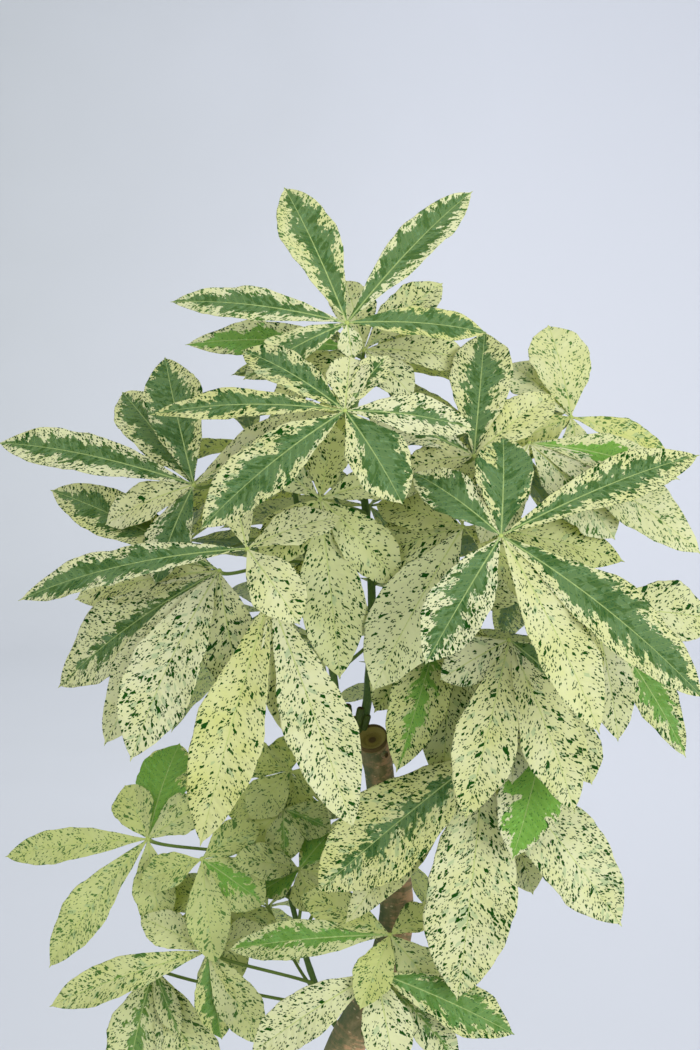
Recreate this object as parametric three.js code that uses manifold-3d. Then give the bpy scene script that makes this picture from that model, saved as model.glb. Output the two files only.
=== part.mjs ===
// A potted money tree with variegated leaves: one woody trunk in a plain tapered pot of soil, cut off
// at its top, with green shoots that carry palmate leaves. Each leaf is a petiole that ends in a hub
// from which its leaflets spread. Millimetres, +Z up, the origin under the middle of the pot's base,
// with the plant's best side towards -Y.
//
// A front leaf is placed by where its hub and its leaflets' tips are seen from the viewpoint: across
// and up on an upright sheet through the trunk that faces the viewer, and forward of the trunk. The
// leaves at the back are placed by their hubs alone, and their leaflets by a rule.

import * as THREE from "three";
import { mergeVertices } from "three/addons/utils/BufferGeometryUtils.js";
import Module from "manifold-3d";

const wasm = await Module();
wasm.setup();

// Pot and soil
const POT_HEIGHT = 240;
const POT_BASE_RADIUS = 98;
const POT_RIM_RADIUS = 132;
const POT_WALL = 6;
const POT_FLOOR = 8;
const POT_EDGE = 3;
const POT_SIDES = 32;
const SOIL_LEVEL = 214;
const SOIL_DOME = 6;
const GAP = 0.35;

// Trunk and shoots
const TRUNK_SIDES = 12;
const ROOT_DEPTH = 85;
const CUT_SLOPE = THREE.MathUtils.degToRad(34);
const SHOOT_SIDES = 6;

// Leaves
const BLADE_THICKNESS = 0.8;
const BLADE_STATIONS = [0.17, 0.5, 0.82];
const BLADE_ARCH = 0.07;
const BLADE_FOLD = 0.16;
const BLADE_WAVE = 0.1;
const STALK_THICKNESS = 1.8;
const STALK_SUNK = 3;
const DROOP = 0.22;
const PETIOLE_SIDES = 4;
const PETIOLE_STEPS = 5;
const PETIOLE_RADIUS = 1.8;
const PETIOLE_END_RADIUS = 2.9;
const PETIOLE_SLANT = 0.7;
const HUB_RADIUS = 5.5;

// Room that a leaflet keeps from the other leaves, and how it is moved to find it
const ROOM_THICKNESS = 3.2;
const ROOM_MARGIN = 1.2;
const ROOM_STEP = 8;
const ROOM_TRIES = 40;

// The viewpoint: the sheet's middle, how far off the eye is and how steeply it looks down
const SHEET_MIDDLE = new THREE.Vector3(20, 0, 1060);
const EYE_DISTANCE = 2000;
const EYE_ELEVATION = THREE.MathUtils.degToRad(8);
const SIGHT = new THREE.Vector3(0, Math.cos(EYE_ELEVATION), -Math.sin(EYE_ELEVATION));
const SHEET_UP = new THREE.Vector3(0, Math.sin(EYE_ELEVATION), Math.cos(EYE_ELEVATION));
const EYE = SHEET_MIDDLE.clone().addScaledVector(SIGHT, -EYE_DISTANCE);

// Trunk: across, up and forward as seen, and its radius there, from the buried foot to the cut
const TRUNK_ROUTE = [
  [-16, 130, 0, 18],
  [-16, 200, 0, 29],
  [-18, 240, 0, 29],
  [-20, 320, 0, 24],
  [-14, 430, 0, 21],
  [14, 535, 0, 20],
  [48, 600, 0, 19],
  [66, 665, 0, 17.5],
  [62, 730, 0, 16],
  [52, 790, 0, 14.4],
  [49, 816, 0, 14.8],
  [44.5, 836, 0, 16.4],
];

// Woody stubs: the collar beside the cut from which the shoots grew, three short stubs of old shoots on
// it, and a knot below the cut. Each goes from inside the wood to its tip, as seen, with both radii.
const STUBS = [
  { foot: [40, 823, -10], tip: [19, 866, -15], radii: [7, 9] },
  { foot: [19, 859, -12], tip: [17, 880, -6], radii: [5.4, 4.2] },
  { foot: [27, 855, -14], tip: [31, 877, -9], radii: [5, 3.8] },
  { foot: [31, 848, -14], tip: [38, 870, -12], radii: [4.4, 3.4] },
  { foot: [48, 832, 6], tip: [56.5, 830, 15.5], radii: [5, 3.2] },
];
const STUB_SIDES = 6;

// Green shoots: across, up and forward as seen, from the trunk to the tip, and the radius at each end
const SHOOTS = {
  main_shoot: {
    route: [
      [38, 826, -12],
      [34, 858, -18],
      [38, 889, -9],
      [40, 920, 2],
      [42, 965, 8],
      [41, 1010, 8],
      [38, 1055, 6],
      [30, 1120, 4],
      [22, 1190, 6],
      [18, 1228, 12],
    ],
    radii: [5.2, 2.6],
  },
  left_shoot: {
    route: [
      [36, 832, -10],
      [19, 860, -13],
      [8, 878, -8],
      [4, 905, 4],
      [0, 930, 12],
      [-10, 970, 14],
      [-24, 1030, 10],
      [-34, 1085, 4],
      [-38, 1130, 0],
    ],
    radii: [4.6, 2.4],
  },
  lower_shoot: {
    route: [
      [20, 545, -4],
      [2, 566, -34],
      [-18, 610, -60],
      [-34, 665, -78],
      [-46, 720, -92],
      [-54, 770, -104],
    ],
    radii: [4, 2.2],
  },
  low_twig: {
    route: [
      [20, 552, 2],
      [52, 556, 34],
      [78, 580, 42],
      [84, 610, 40],
    ],
    radii: [3.4, 2.4],
  },
};

// Front leaves: the shoot and how far along it the petiole leaves, the hub as seen, the way that the
// upper side faces (right, forward, up), and for each leaflet the tip as seen, the width, and where
// needed how far the tip is brought forward and how far the blade is rolled about its midrib.
const FRONT_LEAVES = {
  top_leaf: {
    shoot: "main_shoot", at: 0.97, hub: [17, 1262, 60], facing: [0, 0.85, 0.55],
    leaflets: [
      [-46, 1398, 55], [143, 1394, 44], [-160, 1283, 38], [-87, 1205, 40], [157, 1252, 36], [22, 1226, 24],
    ],
  },
  crown_leaf: {
    shoot: "main_shoot", at: 0.9, hub: [15, 1174, 130], facing: [0, 0.75, 0.66],
    leaflets: [
      [-89, 1235, 44], [20, 1229, 42], [59, 1230, 30], [145, 1155, 46],
      [-180, 1170, 34], [-130, 1055, 62], [73, 1080, 60],
    ],
  },
  right_front_leaf: {
    shoot: "main_shoot", at: 0.37, hub: [171, 1049, 150], facing: [0.1, 0.8, 0.6],
    leaflets: [
      [173, 1149, 57], [82, 1113, 48], [370, 1130, 48], [375, 885, 65], [270, 850, 58], [95, 920, 58],
    ],
  },
  left_front_leaf: {
    shoot: "left_shoot", at: 0.8, hub: [-83, 1036, 120], facing: [-0.2, 0.7, 0.7],
    leaflets: [
      [-312, 984, 46], [-30, 960, 52], [-100, 1120, 44], [12, 1068, 44],
    ],
  },
  long_leaf: {
    shoot: "left_shoot", at: 0.5, hub: [-60, 988, 100], facing: [0, 0.85, 0.5],
    leaflets: [
      [24, 755, 66], [-130, 738, 66], [-38, 845, 44], [4, 1010, 40],
    ],
  },
  right_low_leaf: {
    shoot: "main_shoot", at: 0.25, hub: [179, 945, 110], facing: [0.1, 0.85, 0.5],
    leaflets: [
      [135, 765, 60], [182, 800, 48, -36], [245, 772, 60], [235, 895, 44], [110, 905, 46],
    ],
  },
  right_green_leaf: {
    shoot: "main_shoot", at: 0.17, hub: [222, 890, 70], facing: [0.2, 0.8, 0.5],
    leaflets: [
      [182, 725, 66, 40], [120, 800, 50], [262, 800, 46], [300, 900, 44],
    ],
  },
  hanging_leaf: {
    shoot: "main_shoot", at: 0.155, hub: [155, 832, 40], facing: [0.05, 0.85, 0.5],
    leaflets: [
      [-14, 692, 88, 20], [14, 660, 44, -20], [127, 583, 90], [203, 690, 60, -40], [292, 658, 78, 10],
      [230, 850, 46],
    ],
  },
  middle_leaf: {
    shoot: "main_shoot", at: 0.62, hub: [-10, 1086, 75], facing: [0, 0.85, 0.5],
    leaflets: [
      [10, 905, 62], [5, 1160, 46], [110, 1115, 50], [-68, 1020, 50], [70, 1000, 52], [-90, 1140, 46],
    ],
  },
  right_inner_leaf: {
    shoot: "left_shoot", at: 0.3, hub: [133, 1058, 75], facing: [0, 0.8, 0.6],
    leaflets: [
      [28, 1020, 52], [42, 893, 74], [45, 1080, 46], [110, 1150, 50], [295, 1023, 46], [250, 960, 50],
    ],
  },
  right_shade_leaf: {
    shoot: "main_shoot", at: 0.28, hub: [118, 985, 25], facing: [0.1, 0.8, 0.5],
    leaflets: [
      [66, 812, 58], [112, 792, 54], [160, 880, 50], [200, 1000, 46], [62, 920, 50, -10], [44, 872, 58],
    ],
  },
  right_upper_leaf: {
    shoot: "main_shoot", at: 0.72, hub: [144, 1129, 55], facing: [0, 0.8, 0.6],
    leaflets: [
      [155, 1254, 62], [35, 1173, 46], [75, 1115, 42], [225, 1190, 46],
    ],
  },
  right_stripe_leaf: {
    shoot: "main_shoot", at: 0.56, hub: [199, 1142, 35], facing: [0.1, 0.75, 0.65],
    leaflets: [
      [350, 1105, 46], [285, 1045, 76], [372, 1030, 62], [150, 1040, 50],
    ],
  },
  curled_leaf: {
    shoot: "main_shoot", at: 0.66, hub: [241, 1168, -25], facing: [0.1, 0.75, 0.65],
    leaflets: [
      [218, 1260, 66, 20], [178, 1222, 54], [160, 1125, 60], [342, 1125, 36], [250, 1105, 36],
    ],
  },
  right_back_leaf: {
    shoot: "main_shoot", at: 0.45, hub: [262, 975, 30], facing: [0.2, 0.8, 0.5],
    leaflets: [
      [356, 827, 46], [288, 843, 48], [385, 965, 64], [235, 880, 46],
    ],
  },
  top_back_leaf: {
    shoot: "main_shoot", at: 0.93, hub: [34, 1235, 0], facing: [0, 0.8, 0.6],
    leaflets: [
      [15, 1305, 46], [113, 1302, 46], [145, 1223, 42], [83, 1188, 42], [-145, 1240, 42], [-60, 1180, 44],
    ],
  },
  left_leaf: {
    shoot: "left_shoot", at: 0.95, hub: [-136, 1100, 20], facing: [-0.15, 0.8, 0.6],
    leaflets: [
      [-333, 1142, 48], [-165, 1228, 60], [-208, 1193, 56, -40], [-18, 1157, 44], [-175, 1000, 46],
      [-225, 1060, 46], [5, 1172, 46],
    ],
  },
  left_low_leaf: {
    shoot: "left_shoot", at: 0.66, hub: [-111, 1014, 60], facing: [-0.2, 0.8, 0.55],
    leaflets: [
      [-280, 1095, 52], [-272, 897, 72, -24], [-226, 839, 64], [-200, 823, 76, 30], [-87, 885, 60],
      [-255, 985, 46],
    ],
  },
  low_far_leaf: {
    shoot: "lower_shoot", at: 0.8, hub: [-182, 746, -90], facing: [-0.2, 0.8, 0.55],
    leaflets: [
      [-325, 728, 40], [-281, 617, 50], [-167, 650, 46], [-205, 800, 46], [-150, 842, 62, -20],
      [-118, 785, 46],
    ],
  },
  low_bright_leaf: {
    shoot: "lower_shoot", at: 0.66, hub: [-128, 726, -50], facing: [-0.1, 0.8, 0.6],
    leaflets: [
      [-65, 680, 60], [-115, 620, 46], [-190, 700, 42], [-70, 760, 42],
    ],
  },
  low_back_leaf: {
    shoot: "lower_shoot", at: 0.97, hub: [-40, 814, -120], facing: [0, 0.8, 0.6],
    leaflets: [
      [-45, 850, 42], [-80, 765, 46], [-18, 727, 48], [22, 790, 46], [-105, 830, 46],
    ],
  },
  low_small_leaf: {
    shoot: "lower_shoot", at: 0.92, hub: [-47, 776, -95], facing: [0, 0.8, 0.6],
    leaflets: [
      [-85, 735, 40], [-45, 722, 42], [2, 755, 44], [-105, 780, 44],
    ],
  },
  low_dark_leaf: {
    shoot: "lower_shoot", at: 0.55, hub: [-31, 716, -75], facing: [0, 0.8, 0.6],
    leaflets: [
      [-98, 725, 42], [-73, 690, 38], [0, 752, 40], [-14, 672, 42], [24, 705, 42],
    ],
  },
  low_left_leaf: {
    shoot: "lower_shoot", at: 0.3, hub: [-122, 634, -20], facing: [-0.1, 0.8, 0.6],
    leaflets: [
      [-281, 578, 44], [-108, 545, 42], [-68, 540, 46], [-60, 655, 40], [-190, 668, 40],
    ],
  },
  low_middle_leaf: {
    shoot: "lower_shoot", at: 0.42, hub: [-102, 682, -65], facing: [0, 0.8, 0.6],
    leaflets: [
      [-150, 640, 44], [-55, 640, 44], [-100, 596, 44], [-170, 690, 40],
    ],
  },
  low_edge_leaf: {
    shoot: "lower_shoot", at: 0.2, hub: [-176, 618, -70], facing: [-0.1, 0.8, 0.5],
    leaflets: [
      [-204, 495, 64], [-150, 548, 26, 24], [-115, 478, 62],
    ],
  },
  low_right_leaf: {
    shoot: "low_twig", at: 0.95, hub: [60, 650, 48], facing: [0, 0.8, 0.6],
    leaflets: [
      [104, 678, 32], [112, 585, 46], [-102, 635, 42], [-30, 690, 42], [30, 575, 40],
    ],
  },
  low_front_leaf: {
    shoot: "low_twig", at: 0.6, hub: [46, 613, 75], facing: [0, 0.8, 0.6],
    leaflets: [
      [-80, 530, 52], [65, 512, 52], [185, 550, 52], [130, 520, 40, -36],
    ],
  },
};

// Back leaves: the shoot, how far along it the petiole leaves, the hub's place and its leaflets' reach
const BACK_LEAVES = {
  back_top_leaf: { shoot: "main_shoot", at: 0.86, hub: [40, 105, 1215], reach: 165 },
  back_high_right_leaf: { shoot: "main_shoot", at: 0.78, hub: [150, 125, 1150], reach: 185 },
  back_high_left_leaf: { shoot: "left_shoot", at: 0.9, hub: [-80, 120, 1130], reach: 180 },
  back_left_leaf: { shoot: "left_shoot", at: 0.74, hub: [-150, 95, 1030], reach: 175 },
  back_middle_leaf: { shoot: "main_shoot", at: 0.5, hub: [40, 150, 1060], reach: 190 },
  back_right_leaf: { shoot: "main_shoot", at: 0.4, hub: [195, 105, 1030], reach: 190 },
  back_low_right_leaf: { shoot: "main_shoot", at: 0.22, hub: [135, 125, 930], reach: 190 },
  back_low_left_leaf: { shoot: "left_shoot", at: 0.36, hub: [-70, 125, 950], reach: 190 },
  back_hanging_leaf: { shoot: "main_shoot", at: 0.14, hub: [110, 130, 860], reach: 150 },
  back_trunk_leaf: { shoot: "lower_shoot", at: 0.5, hub: [20, 150, 720], reach: 150 },
  back_foot_leaf: { shoot: "lower_shoot", at: 0.26, hub: [-70, 130, 620], reach: 150 },
};
const BACK_LEAFLETS = 6;
const BACK_LEAFLET_WIDTH = 0.27;

// The point that is seen at across, up on the sheet and stands forward of the trunk.
function seen([across, up, forward]) {
  const onSheet = SHEET_MIDDLE.clone().addScaledVector(SHEET_UP, up - SHEET_MIDDLE.z);
  onSheet.x = across;
  const ray = onSheet.sub(EYE);
  return EYE.clone().addScaledVector(ray, (-forward - EYE.y) / ray.y);
}

// A unit vector like vector, but square to axis.
function squareTo(axis, vector) {
  const along = axis.clone().normalize();
  return vector.clone().addScaledVector(along, -vector.dot(along)).normalize();
}

// A solid from vertices and triangles, with its faces turned outward.
function solidOf(points, triangles) {
  const positions = new Float32Array(points.flatMap((point) => [point.x, point.y, point.z]));
  let volume = 0;
  for (const [a, b, c] of triangles) {
    volume += points[a].dot(points[b].clone().cross(points[c]));
  }
  const outward = volume < 0 ? triangles.map(([a, b, c]) => [a, c, b]) : triangles;
  const mesh = new wasm.Mesh({
    numProp: 3,
    vertProperties: positions,
    triVerts: new Uint32Array(outward.flat()),
  });
  return new wasm.Manifold(mesh);
}

// What stays of a solid when room is cut out of it, without loose scraps.
function cutClear(solid, room) {
  const bodies = solid.subtract(room).decompose();
  return bodies.reduce((largest, body) => (body.volume() > largest.volume() ? body : largest));
}

// A solid from a closed three.js geometry.
function solidFrom(geometry) {
  geometry.deleteAttribute("normal");
  geometry.deleteAttribute("uv");
  const merged = mergeVertices(geometry, 1e-3);
  const mesh = new wasm.Mesh({
    numProp: 3,
    vertProperties: new Float32Array(merged.attributes.position.array),
    triVerts: new Uint32Array(merged.index.array),
  });
  return new wasm.Manifold(mesh);
}

// A tube through rings of points, closed by a flat face at each end.
function skin(rings) {
  const sides = rings[0].length;
  const triangles = [];
  for (let ring = 0; ring + 1 < rings.length; ring += 1) {
    for (let side = 0; side < sides; side += 1) {
      const next = (side + 1) % sides;
      const [near, far] = [ring * sides, (ring + 1) * sides];
      const [a, b, c, d] = [near + side, near + next, far + next, far + side];
      triangles.push([a, b, c], [a, c, d]);
    }
  }
  const last = (rings.length - 1) * sides;
  for (let side = 1; side + 1 < sides; side += 1) {
    triangles.push([0, side + 1, side], [last, last + side, last + side + 1]);
  }
  return solidOf(rings.flat(), triangles);
}

// The rings of a round tube along a curve, its radius given by a function of the way along.
function tubeRings(curve, steps, sides, radiusAt) {
  const frames = curve.computeFrenetFrames(steps, false);
  const rings = [];
  for (let step = 0; step <= steps; step += 1) {
    const middle = curve.getPointAt(step / steps);
    const ring = [];
    for (let side = 0; side < sides; side += 1) {
      const angle = (2 * Math.PI * side) / sides;
      const spoke = frames.normals[step].clone().multiplyScalar(Math.cos(angle));
      spoke.addScaledVector(frames.binormals[step], Math.sin(angle));
      ring.push(middle.clone().addScaledVector(spoke, radiusAt(step / steps)));
    }
    rings.push(ring);
  }
  return rings;
}

// Pot: a tapered cup with a rounded rim and a flat base.
function potSolid() {
  const innerBase = POT_BASE_RADIUS - POT_WALL;
  const innerRim = POT_RIM_RADIUS - POT_WALL;
  const profile = [
    [0, 0],
    [POT_BASE_RADIUS - POT_EDGE, 0],
    [POT_BASE_RADIUS, POT_EDGE],
    [POT_RIM_RADIUS, POT_HEIGHT - POT_EDGE],
    [POT_RIM_RADIUS - POT_EDGE, POT_HEIGHT],
    [innerRim + POT_EDGE / 2, POT_HEIGHT],
    [innerRim, POT_HEIGHT - POT_EDGE / 2],
    [innerBase, POT_FLOOR],
    [0, POT_FLOOR],
  ];
  const geometry = new THREE.LatheGeometry(profile.map(([r, z]) => new THREE.Vector2(r, z)), POT_SIDES);
  return solidFrom(geometry.rotateX(Math.PI / 2));
}

// Radius of the pot's inside at a height.
function potInside(height) {
  const rise = (height - POT_FLOOR) / (POT_HEIGHT - POT_EDGE / 2 - POT_FLOOR);
  return POT_BASE_RADIUS - POT_WALL + rise * (POT_RIM_RADIUS - POT_BASE_RADIUS);
}

// Soil: fills the pot and heaps up slightly round the trunk, which stands in a plain hole.
function soilSolid(trunkRoom) {
  const base = POT_FLOOR + GAP;
  const clearance = 2 * GAP;
  const profile = [
    [0, base],
    [potInside(base) - clearance, base],
    [potInside(SOIL_LEVEL) - clearance, SOIL_LEVEL],
    [potInside(SOIL_LEVEL) * 0.5, SOIL_LEVEL + SOIL_DOME * 0.8],
    [0, SOIL_LEVEL + SOIL_DOME],
  ];
  const geometry = new THREE.LatheGeometry(profile.map(([r, z]) => new THREE.Vector2(r, z)), POT_SIDES);
  return cutClear(solidFrom(geometry.rotateX(Math.PI / 2)), trunkRoom);
}

// Trunk: round rings along its route, level below the soil, with a sloped cut at the top.
function trunkSolid(extra) {
  const stations = TRUNK_ROUTE.map(([across, up, forward, radius]) => ({
    middle: seen([across, up, forward]),
    radius: radius + extra,
  }));
  const curve = new THREE.CatmullRomCurve3(stations.map((station) => station.middle), false, "centripetal");
  const last = stations.length - 1;
  const steps = last;
  const rings = [];
  for (let step = 0; step <= steps; step += 1) {
    const t = step / steps;
    const middle = curve.getPoint(t);
    const before = stations[Math.floor(t * last)];
    const after = stations[Math.min(Math.floor(t * last) + 1, last)];
    const radius = THREE.MathUtils.lerp(before.radius, after.radius, (t * last) % 1);
    const axis = curve.getTangent(t);
    const front = squareTo(axis, new THREE.Vector3(0, -1, 0));
    const right = squareTo(axis, new THREE.Vector3(1, 0, 0));
    const slope = step === steps ? Math.tan(CUT_SLOPE) : 0;
    const ring = [];
    for (let side = 0; side < TRUNK_SIDES; side += 1) {
      const angle = (2 * Math.PI * side) / TRUNK_SIDES;
      const point = middle.clone().addScaledVector(front, radius * Math.cos(angle));
      point.addScaledVector(right, radius * Math.sin(angle));
      ring.push(point.addScaledVector(axis, slope * radius * (1 - Math.cos(angle)) + (slope ? extra : 0)));
    }
    rings.push(ring);
  }
  if (extra > 0) {
    for (const point of rings[0]) {
      point.z -= extra;
    }
  }
  return skin(rings);
}

function stubSolid({ foot, tip, radii }, extra) {
  const curve = new THREE.LineCurve3(seen(foot), seen(tip));
  return skin(tubeRings(curve, 1, STUB_SIDES, (t) => THREE.MathUtils.lerp(...radii, t) + extra));
}

function shootCurve(name) {
  return new THREE.CatmullRomCurve3(SHOOTS[name].route.map(seen), false, "centripetal");
}

function shootRadius(name, t) {
  const [foot, tip] = SHOOTS[name].radii;
  return THREE.MathUtils.lerp(foot, tip, t);
}

function shootSolid(name, extra) {
  const curve = shootCurve(name);
  const steps = SHOOTS[name].route.length + 2;
  return skin(tubeRings(curve, steps, SHOOT_SIDES, (t) => shootRadius(name, t) + extra));
}

// A petiole's course: out of its shoot at a slant, then up into the hub from beneath the leaf.
function petioleCurve(leaf) {
  const shoot = shootCurve(leaf.shoot);
  const foot = shoot.getPointAt(leaf.at);
  const away = leaf.hubPoint.clone().sub(foot);
  const reach = away.length();
  const ahead = shoot.getTangentAt(leaf.at);
  const out = squareTo(ahead, away).addScaledVector(ahead, PETIOLE_SLANT).normalize();
  const first = foot.clone().addScaledVector(out, 0.3 * reach);
  const second = leaf.hubPoint.clone().addScaledVector(leaf.normal, -0.28 * reach);
  return new THREE.CubicBezierCurve3(foot, first, second, leaf.hubPoint);
}

function petioleSolid(leaf) {
  const swell = (t) => Math.pow(Math.abs(2 * t - 1), 5);
  const radiusAt = (t) => THREE.MathUtils.lerp(PETIOLE_RADIUS, PETIOLE_END_RADIUS, swell(t));
  const stem = skin(tubeRings(petioleCurve(leaf), PETIOLE_STEPS, PETIOLE_SIDES, radiusAt));
  const hub = new THREE.OctahedronGeometry(HUB_RADIUS, 0);
  hub.translate(leaf.hubPoint.x, leaf.hubPoint.y, leaf.hubPoint.z);
  return stem.add(solidFrom(hub));
}

// Half the width of a leaflet along its length, as a share of its greatest: widest past the middle.
function outline(t) {
  return Math.pow(Math.sin(Math.PI * Math.pow(t, 1.35)), 0.8);
}

// One leaflet: an arched blade, folded up along its midrib and waved at its edges, that narrows from
// its widest to a point inside the hub and to its tip, and is thicker near the hub.
function bladeSolid(leaf, leaflet, tip, thickness, margin) {
  const chord = tip.clone().sub(leaf.hubPoint);
  const length = chord.length();
  const along = chord.clone().normalize();
  const upper = squareTo(chord, leaf.normal).applyAxisAngle(along, leaflet.roll);
  const side = chord.clone().cross(upper).normalize();
  const bend = leaf.hubPoint.clone().lerp(tip, 0.5).addScaledVector(upper, 2 * BLADE_ARCH * length);
  const curve = new THREE.QuadraticBezierCurve3(leaf.hubPoint, bend, tip);
  const points = [leaf.hubPoint.clone().addScaledVector(along, -STALK_SUNK)];
  BLADE_STATIONS.forEach((t, station) => {
    const middle = curve.getPoint(t);
    const lift = side.clone().cross(curve.getTangent(t)).normalize();
    const half = (outline(t) * leaflet.width) / 2 + margin;
    const deep = station === 0 ? Math.max(STALK_THICKNESS, thickness) : thickness;
    const relief = station === 0 ? 0 : half;
    const wave = BLADE_WAVE * relief * Math.sin(9 * t + leaflet.phase);
    const row = [-1, 0, 1].map((edge) => {
      const point = middle.clone().addScaledVector(side, edge * half);
      return point.addScaledVector(lift, Math.abs(edge) * BLADE_FOLD * relief + edge * wave);
    });
    points.push(...row.map((point) => point.clone().addScaledVector(lift, deep / 2)));
    points.push(...row.reverse().map((point) => point.clone().addScaledVector(lift, -deep / 2)));
  });
  points.push(tip.clone().addScaledVector(along, margin));
  return solidOf(points, bladeTriangles(BLADE_STATIONS.length));
}

// The triangles of a blade with rings of three points above and three below: both faces are split
// along the same diagonals, and the first and last rings close on a point.
function bladeTriangles(rings) {
  const triangles = [];
  const tip = 6 * rings + 1;
  for (let side = 0; side < 6; side += 1) {
    const next = (side + 1) % 6;
    const underside = side === 3 || side === 4;
    triangles.push([0, 1 + next, 1 + side]);
    triangles.push([tip, tip - 6 + side, tip - 6 + next]);
    for (let ring = 0; ring + 1 < rings; ring += 1) {
      const [near, far] = [6 * ring + 1, 6 * ring + 7];
      const [a, b, c, d] = [near + side, near + next, far + next, far + side];
      triangles.push(...(underside ? [[a, b, d], [b, c, d]] : [[a, b, c], [a, c, d]]));
    }
  }
  return triangles;
}

// A front leaf's leaflets, each with its tip as a function of how far it is moved to find room.
function frontLeaf(name, { shoot, at, hub, facing, leaflets }) {
  const [right, forward, up] = facing;
  const normal = new THREE.Vector3(right, -forward, up).normalize();
  const hubPoint = seen(hub);
  const blades = leaflets.map(([tipAcross, tipUp, width, nearer = 0, roll = 0], index) => {
    const across = tipAcross - hub[0];
    const rise = tipUp - hub[1];
    const inPlane = -(right * across + up * rise) / forward;
    const depth = hub[2] + 0.75 * inPlane - DROOP * Math.hypot(across, rise) + nearer;
    return {
      width,
      phase: 2.4 * index,
      roll: THREE.MathUtils.degToRad(roll),
      tipAt: (shift) => seen([tipAcross, tipUp, depth + shift]),
    };
  });
  return { name, shoot, at, hubPoint, normal, blades };
}

// A back leaf's leaflets: they spread all round the hub, longest away from the shoot, and droop.
function backLeaf(name, { shoot, at, hub, reach }, index) {
  const hubPoint = new THREE.Vector3(...hub);
  const away = hubPoint.clone().sub(shootCurve(shoot).getPointAt(at)).setZ(0).normalize();
  const normal = away.clone().multiplyScalar(0.7).add(new THREE.Vector3(0, 0, 0.7)).normalize();
  const outward = squareTo(normal, away);
  const blades = [];
  for (let place = 0; place < BACK_LEAFLETS; place += 1) {
    const vary = Math.sin(2.4 * place + 1.7 * index);
    const angle = (2 * Math.PI * (place + 0.5 + 0.15 * vary)) / BACK_LEAFLETS;
    const length = reach * (0.82 + 0.2 * Math.cos(angle) + 0.08 * vary);
    const direction = outward.clone().applyAxisAngle(normal, angle);
    const tip = hubPoint.clone().addScaledVector(direction, length);
    tip.addScaledVector(normal, -DROOP * length);
    blades.push({
      width: BACK_LEAFLET_WIDTH * length,
      phase: 2.4 * place,
      roll: 0,
      tipAt: (shift) => tip.clone().addScaledVector(normal, shift),
    });
  }
  return { name, shoot, at, hubPoint, normal, blades };
}

// What stands so far: each solid with its box and the leaf that it belongs to.
const standing = [];

function stand(owner, solid) {
  standing.push({ owner, solid, box: solid.boundingBox() });
}

function hasRoom(owner, solid) {
  const box = solid.boundingBox();
  return standing.every((other) => {
    const [low, high] = [other.box.min, other.box.max];
    const apart = [0, 1, 2].some((axis) => box.min[axis] > high[axis] || box.max[axis] < low[axis]);
    return other.owner === owner || apart || solid.intersect(other.solid).isEmpty();
  });
}

// The leaf's petiole and hub with its leaflets, each moved by the least that finds it room.
function leafSolid(leaf, petiole) {
  let solid = petiole;
  for (const blade of leaf.blades) {
    for (let attempt = 0; attempt < ROOM_TRIES; attempt += 1) {
      const shift = ROOM_STEP * Math.ceil(attempt / 2) * (attempt % 2 ? -1 : 1);
      const tip = blade.tipAt(shift);
      if (hasRoom(leaf.name, bladeSolid(leaf, blade, tip, ROOM_THICKNESS, ROOM_MARGIN))) {
        const piece = bladeSolid(leaf, blade, tip, BLADE_THICKNESS, 0);
        stand(leaf.name, piece);
        solid = solid.add(piece);
        break;
      }
    }
  }
  return solid;
}

const plant = new THREE.Group();

function addPiece(name, solid, finish) {
  const { vertProperties, triVerts } = solid.getMesh();
  const geometry = new THREE.BufferGeometry();
  geometry.setAttribute("position", new THREE.BufferAttribute(new Float32Array(vertProperties), 3));
  geometry.setIndex(new THREE.BufferAttribute(new Uint32Array(triVerts), 1));
  geometry.computeVertexNormals();
  const mesh = new THREE.Mesh(geometry, new THREE.MeshStandardMaterial(finish));
  mesh.name = name;
  plant.add(mesh);
}

const GLAZE = { color: 0xe4e1da, roughness: 0.6, metalness: 0 };
const EARTH = { color: 0x4a382b, roughness: 0.95, metalness: 0 };
const BARK = { color: 0x8d7a66, roughness: 0.9, metalness: 0 };
const GREEN_STEM = { color: 0x4f7a3c, roughness: 0.6, metalness: 0 };
const LEAF = { color: 0xcfd8a0, roughness: 0.55, metalness: 0 };

// The trunk with its stubs, as it is or grown on every side by extra.
function woodSolid(extra) {
  return STUBS.reduce((body, stub) => body.add(stubSolid(stub, extra)), trunkSolid(extra));
}

const trunkRoom = woodSolid(GAP);
const trunk = woodSolid(0);
addPiece("pot", potSolid(), GLAZE);
addPiece("soil", soilSolid(trunkRoom), EARTH);
addPiece("trunk", trunk, BARK);
stand("trunk", trunk);

for (const name of Object.keys(SHOOTS)) {
  const shoot = cutClear(shootSolid(name, 0), trunkRoom);
  addPiece(name, shoot, GREEN_STEM);
  stand(name, shoot);
}

const leaves = [
  ...Object.entries(FRONT_LEAVES).map(([name, leaf]) => frontLeaf(name, leaf)),
  ...Object.entries(BACK_LEAVES).map(([name, leaf], index) => backLeaf(name, leaf, index)),
];
const petioles = leaves.map((leaf) => cutClear(petioleSolid(leaf), shootSolid(leaf.shoot, GAP)));
leaves.forEach((leaf, index) => stand(leaf.name, petioles[index]));
leaves.forEach((leaf, index) => addPiece(leaf.name, leafSolid(leaf, petioles[index]), LEAF));

export default plant;
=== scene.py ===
"""A potted money tree with leaves variegated in cream and green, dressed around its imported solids.

Lengths are metres, +Z is up and the plant's best side looks towards -Y. A front leaf is given in
millimetres as it is seen from the viewpoint: across and up on a sheet through the trunk that faces
the viewer, and forward of the trunk. These are the sizes that the solids were made from, so each
fine leaf lies where its solid does.
"""

import logging
import math
from dataclasses import dataclass, field
from enum import Enum, IntEnum
from typing import Any, Callable, Sequence

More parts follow.
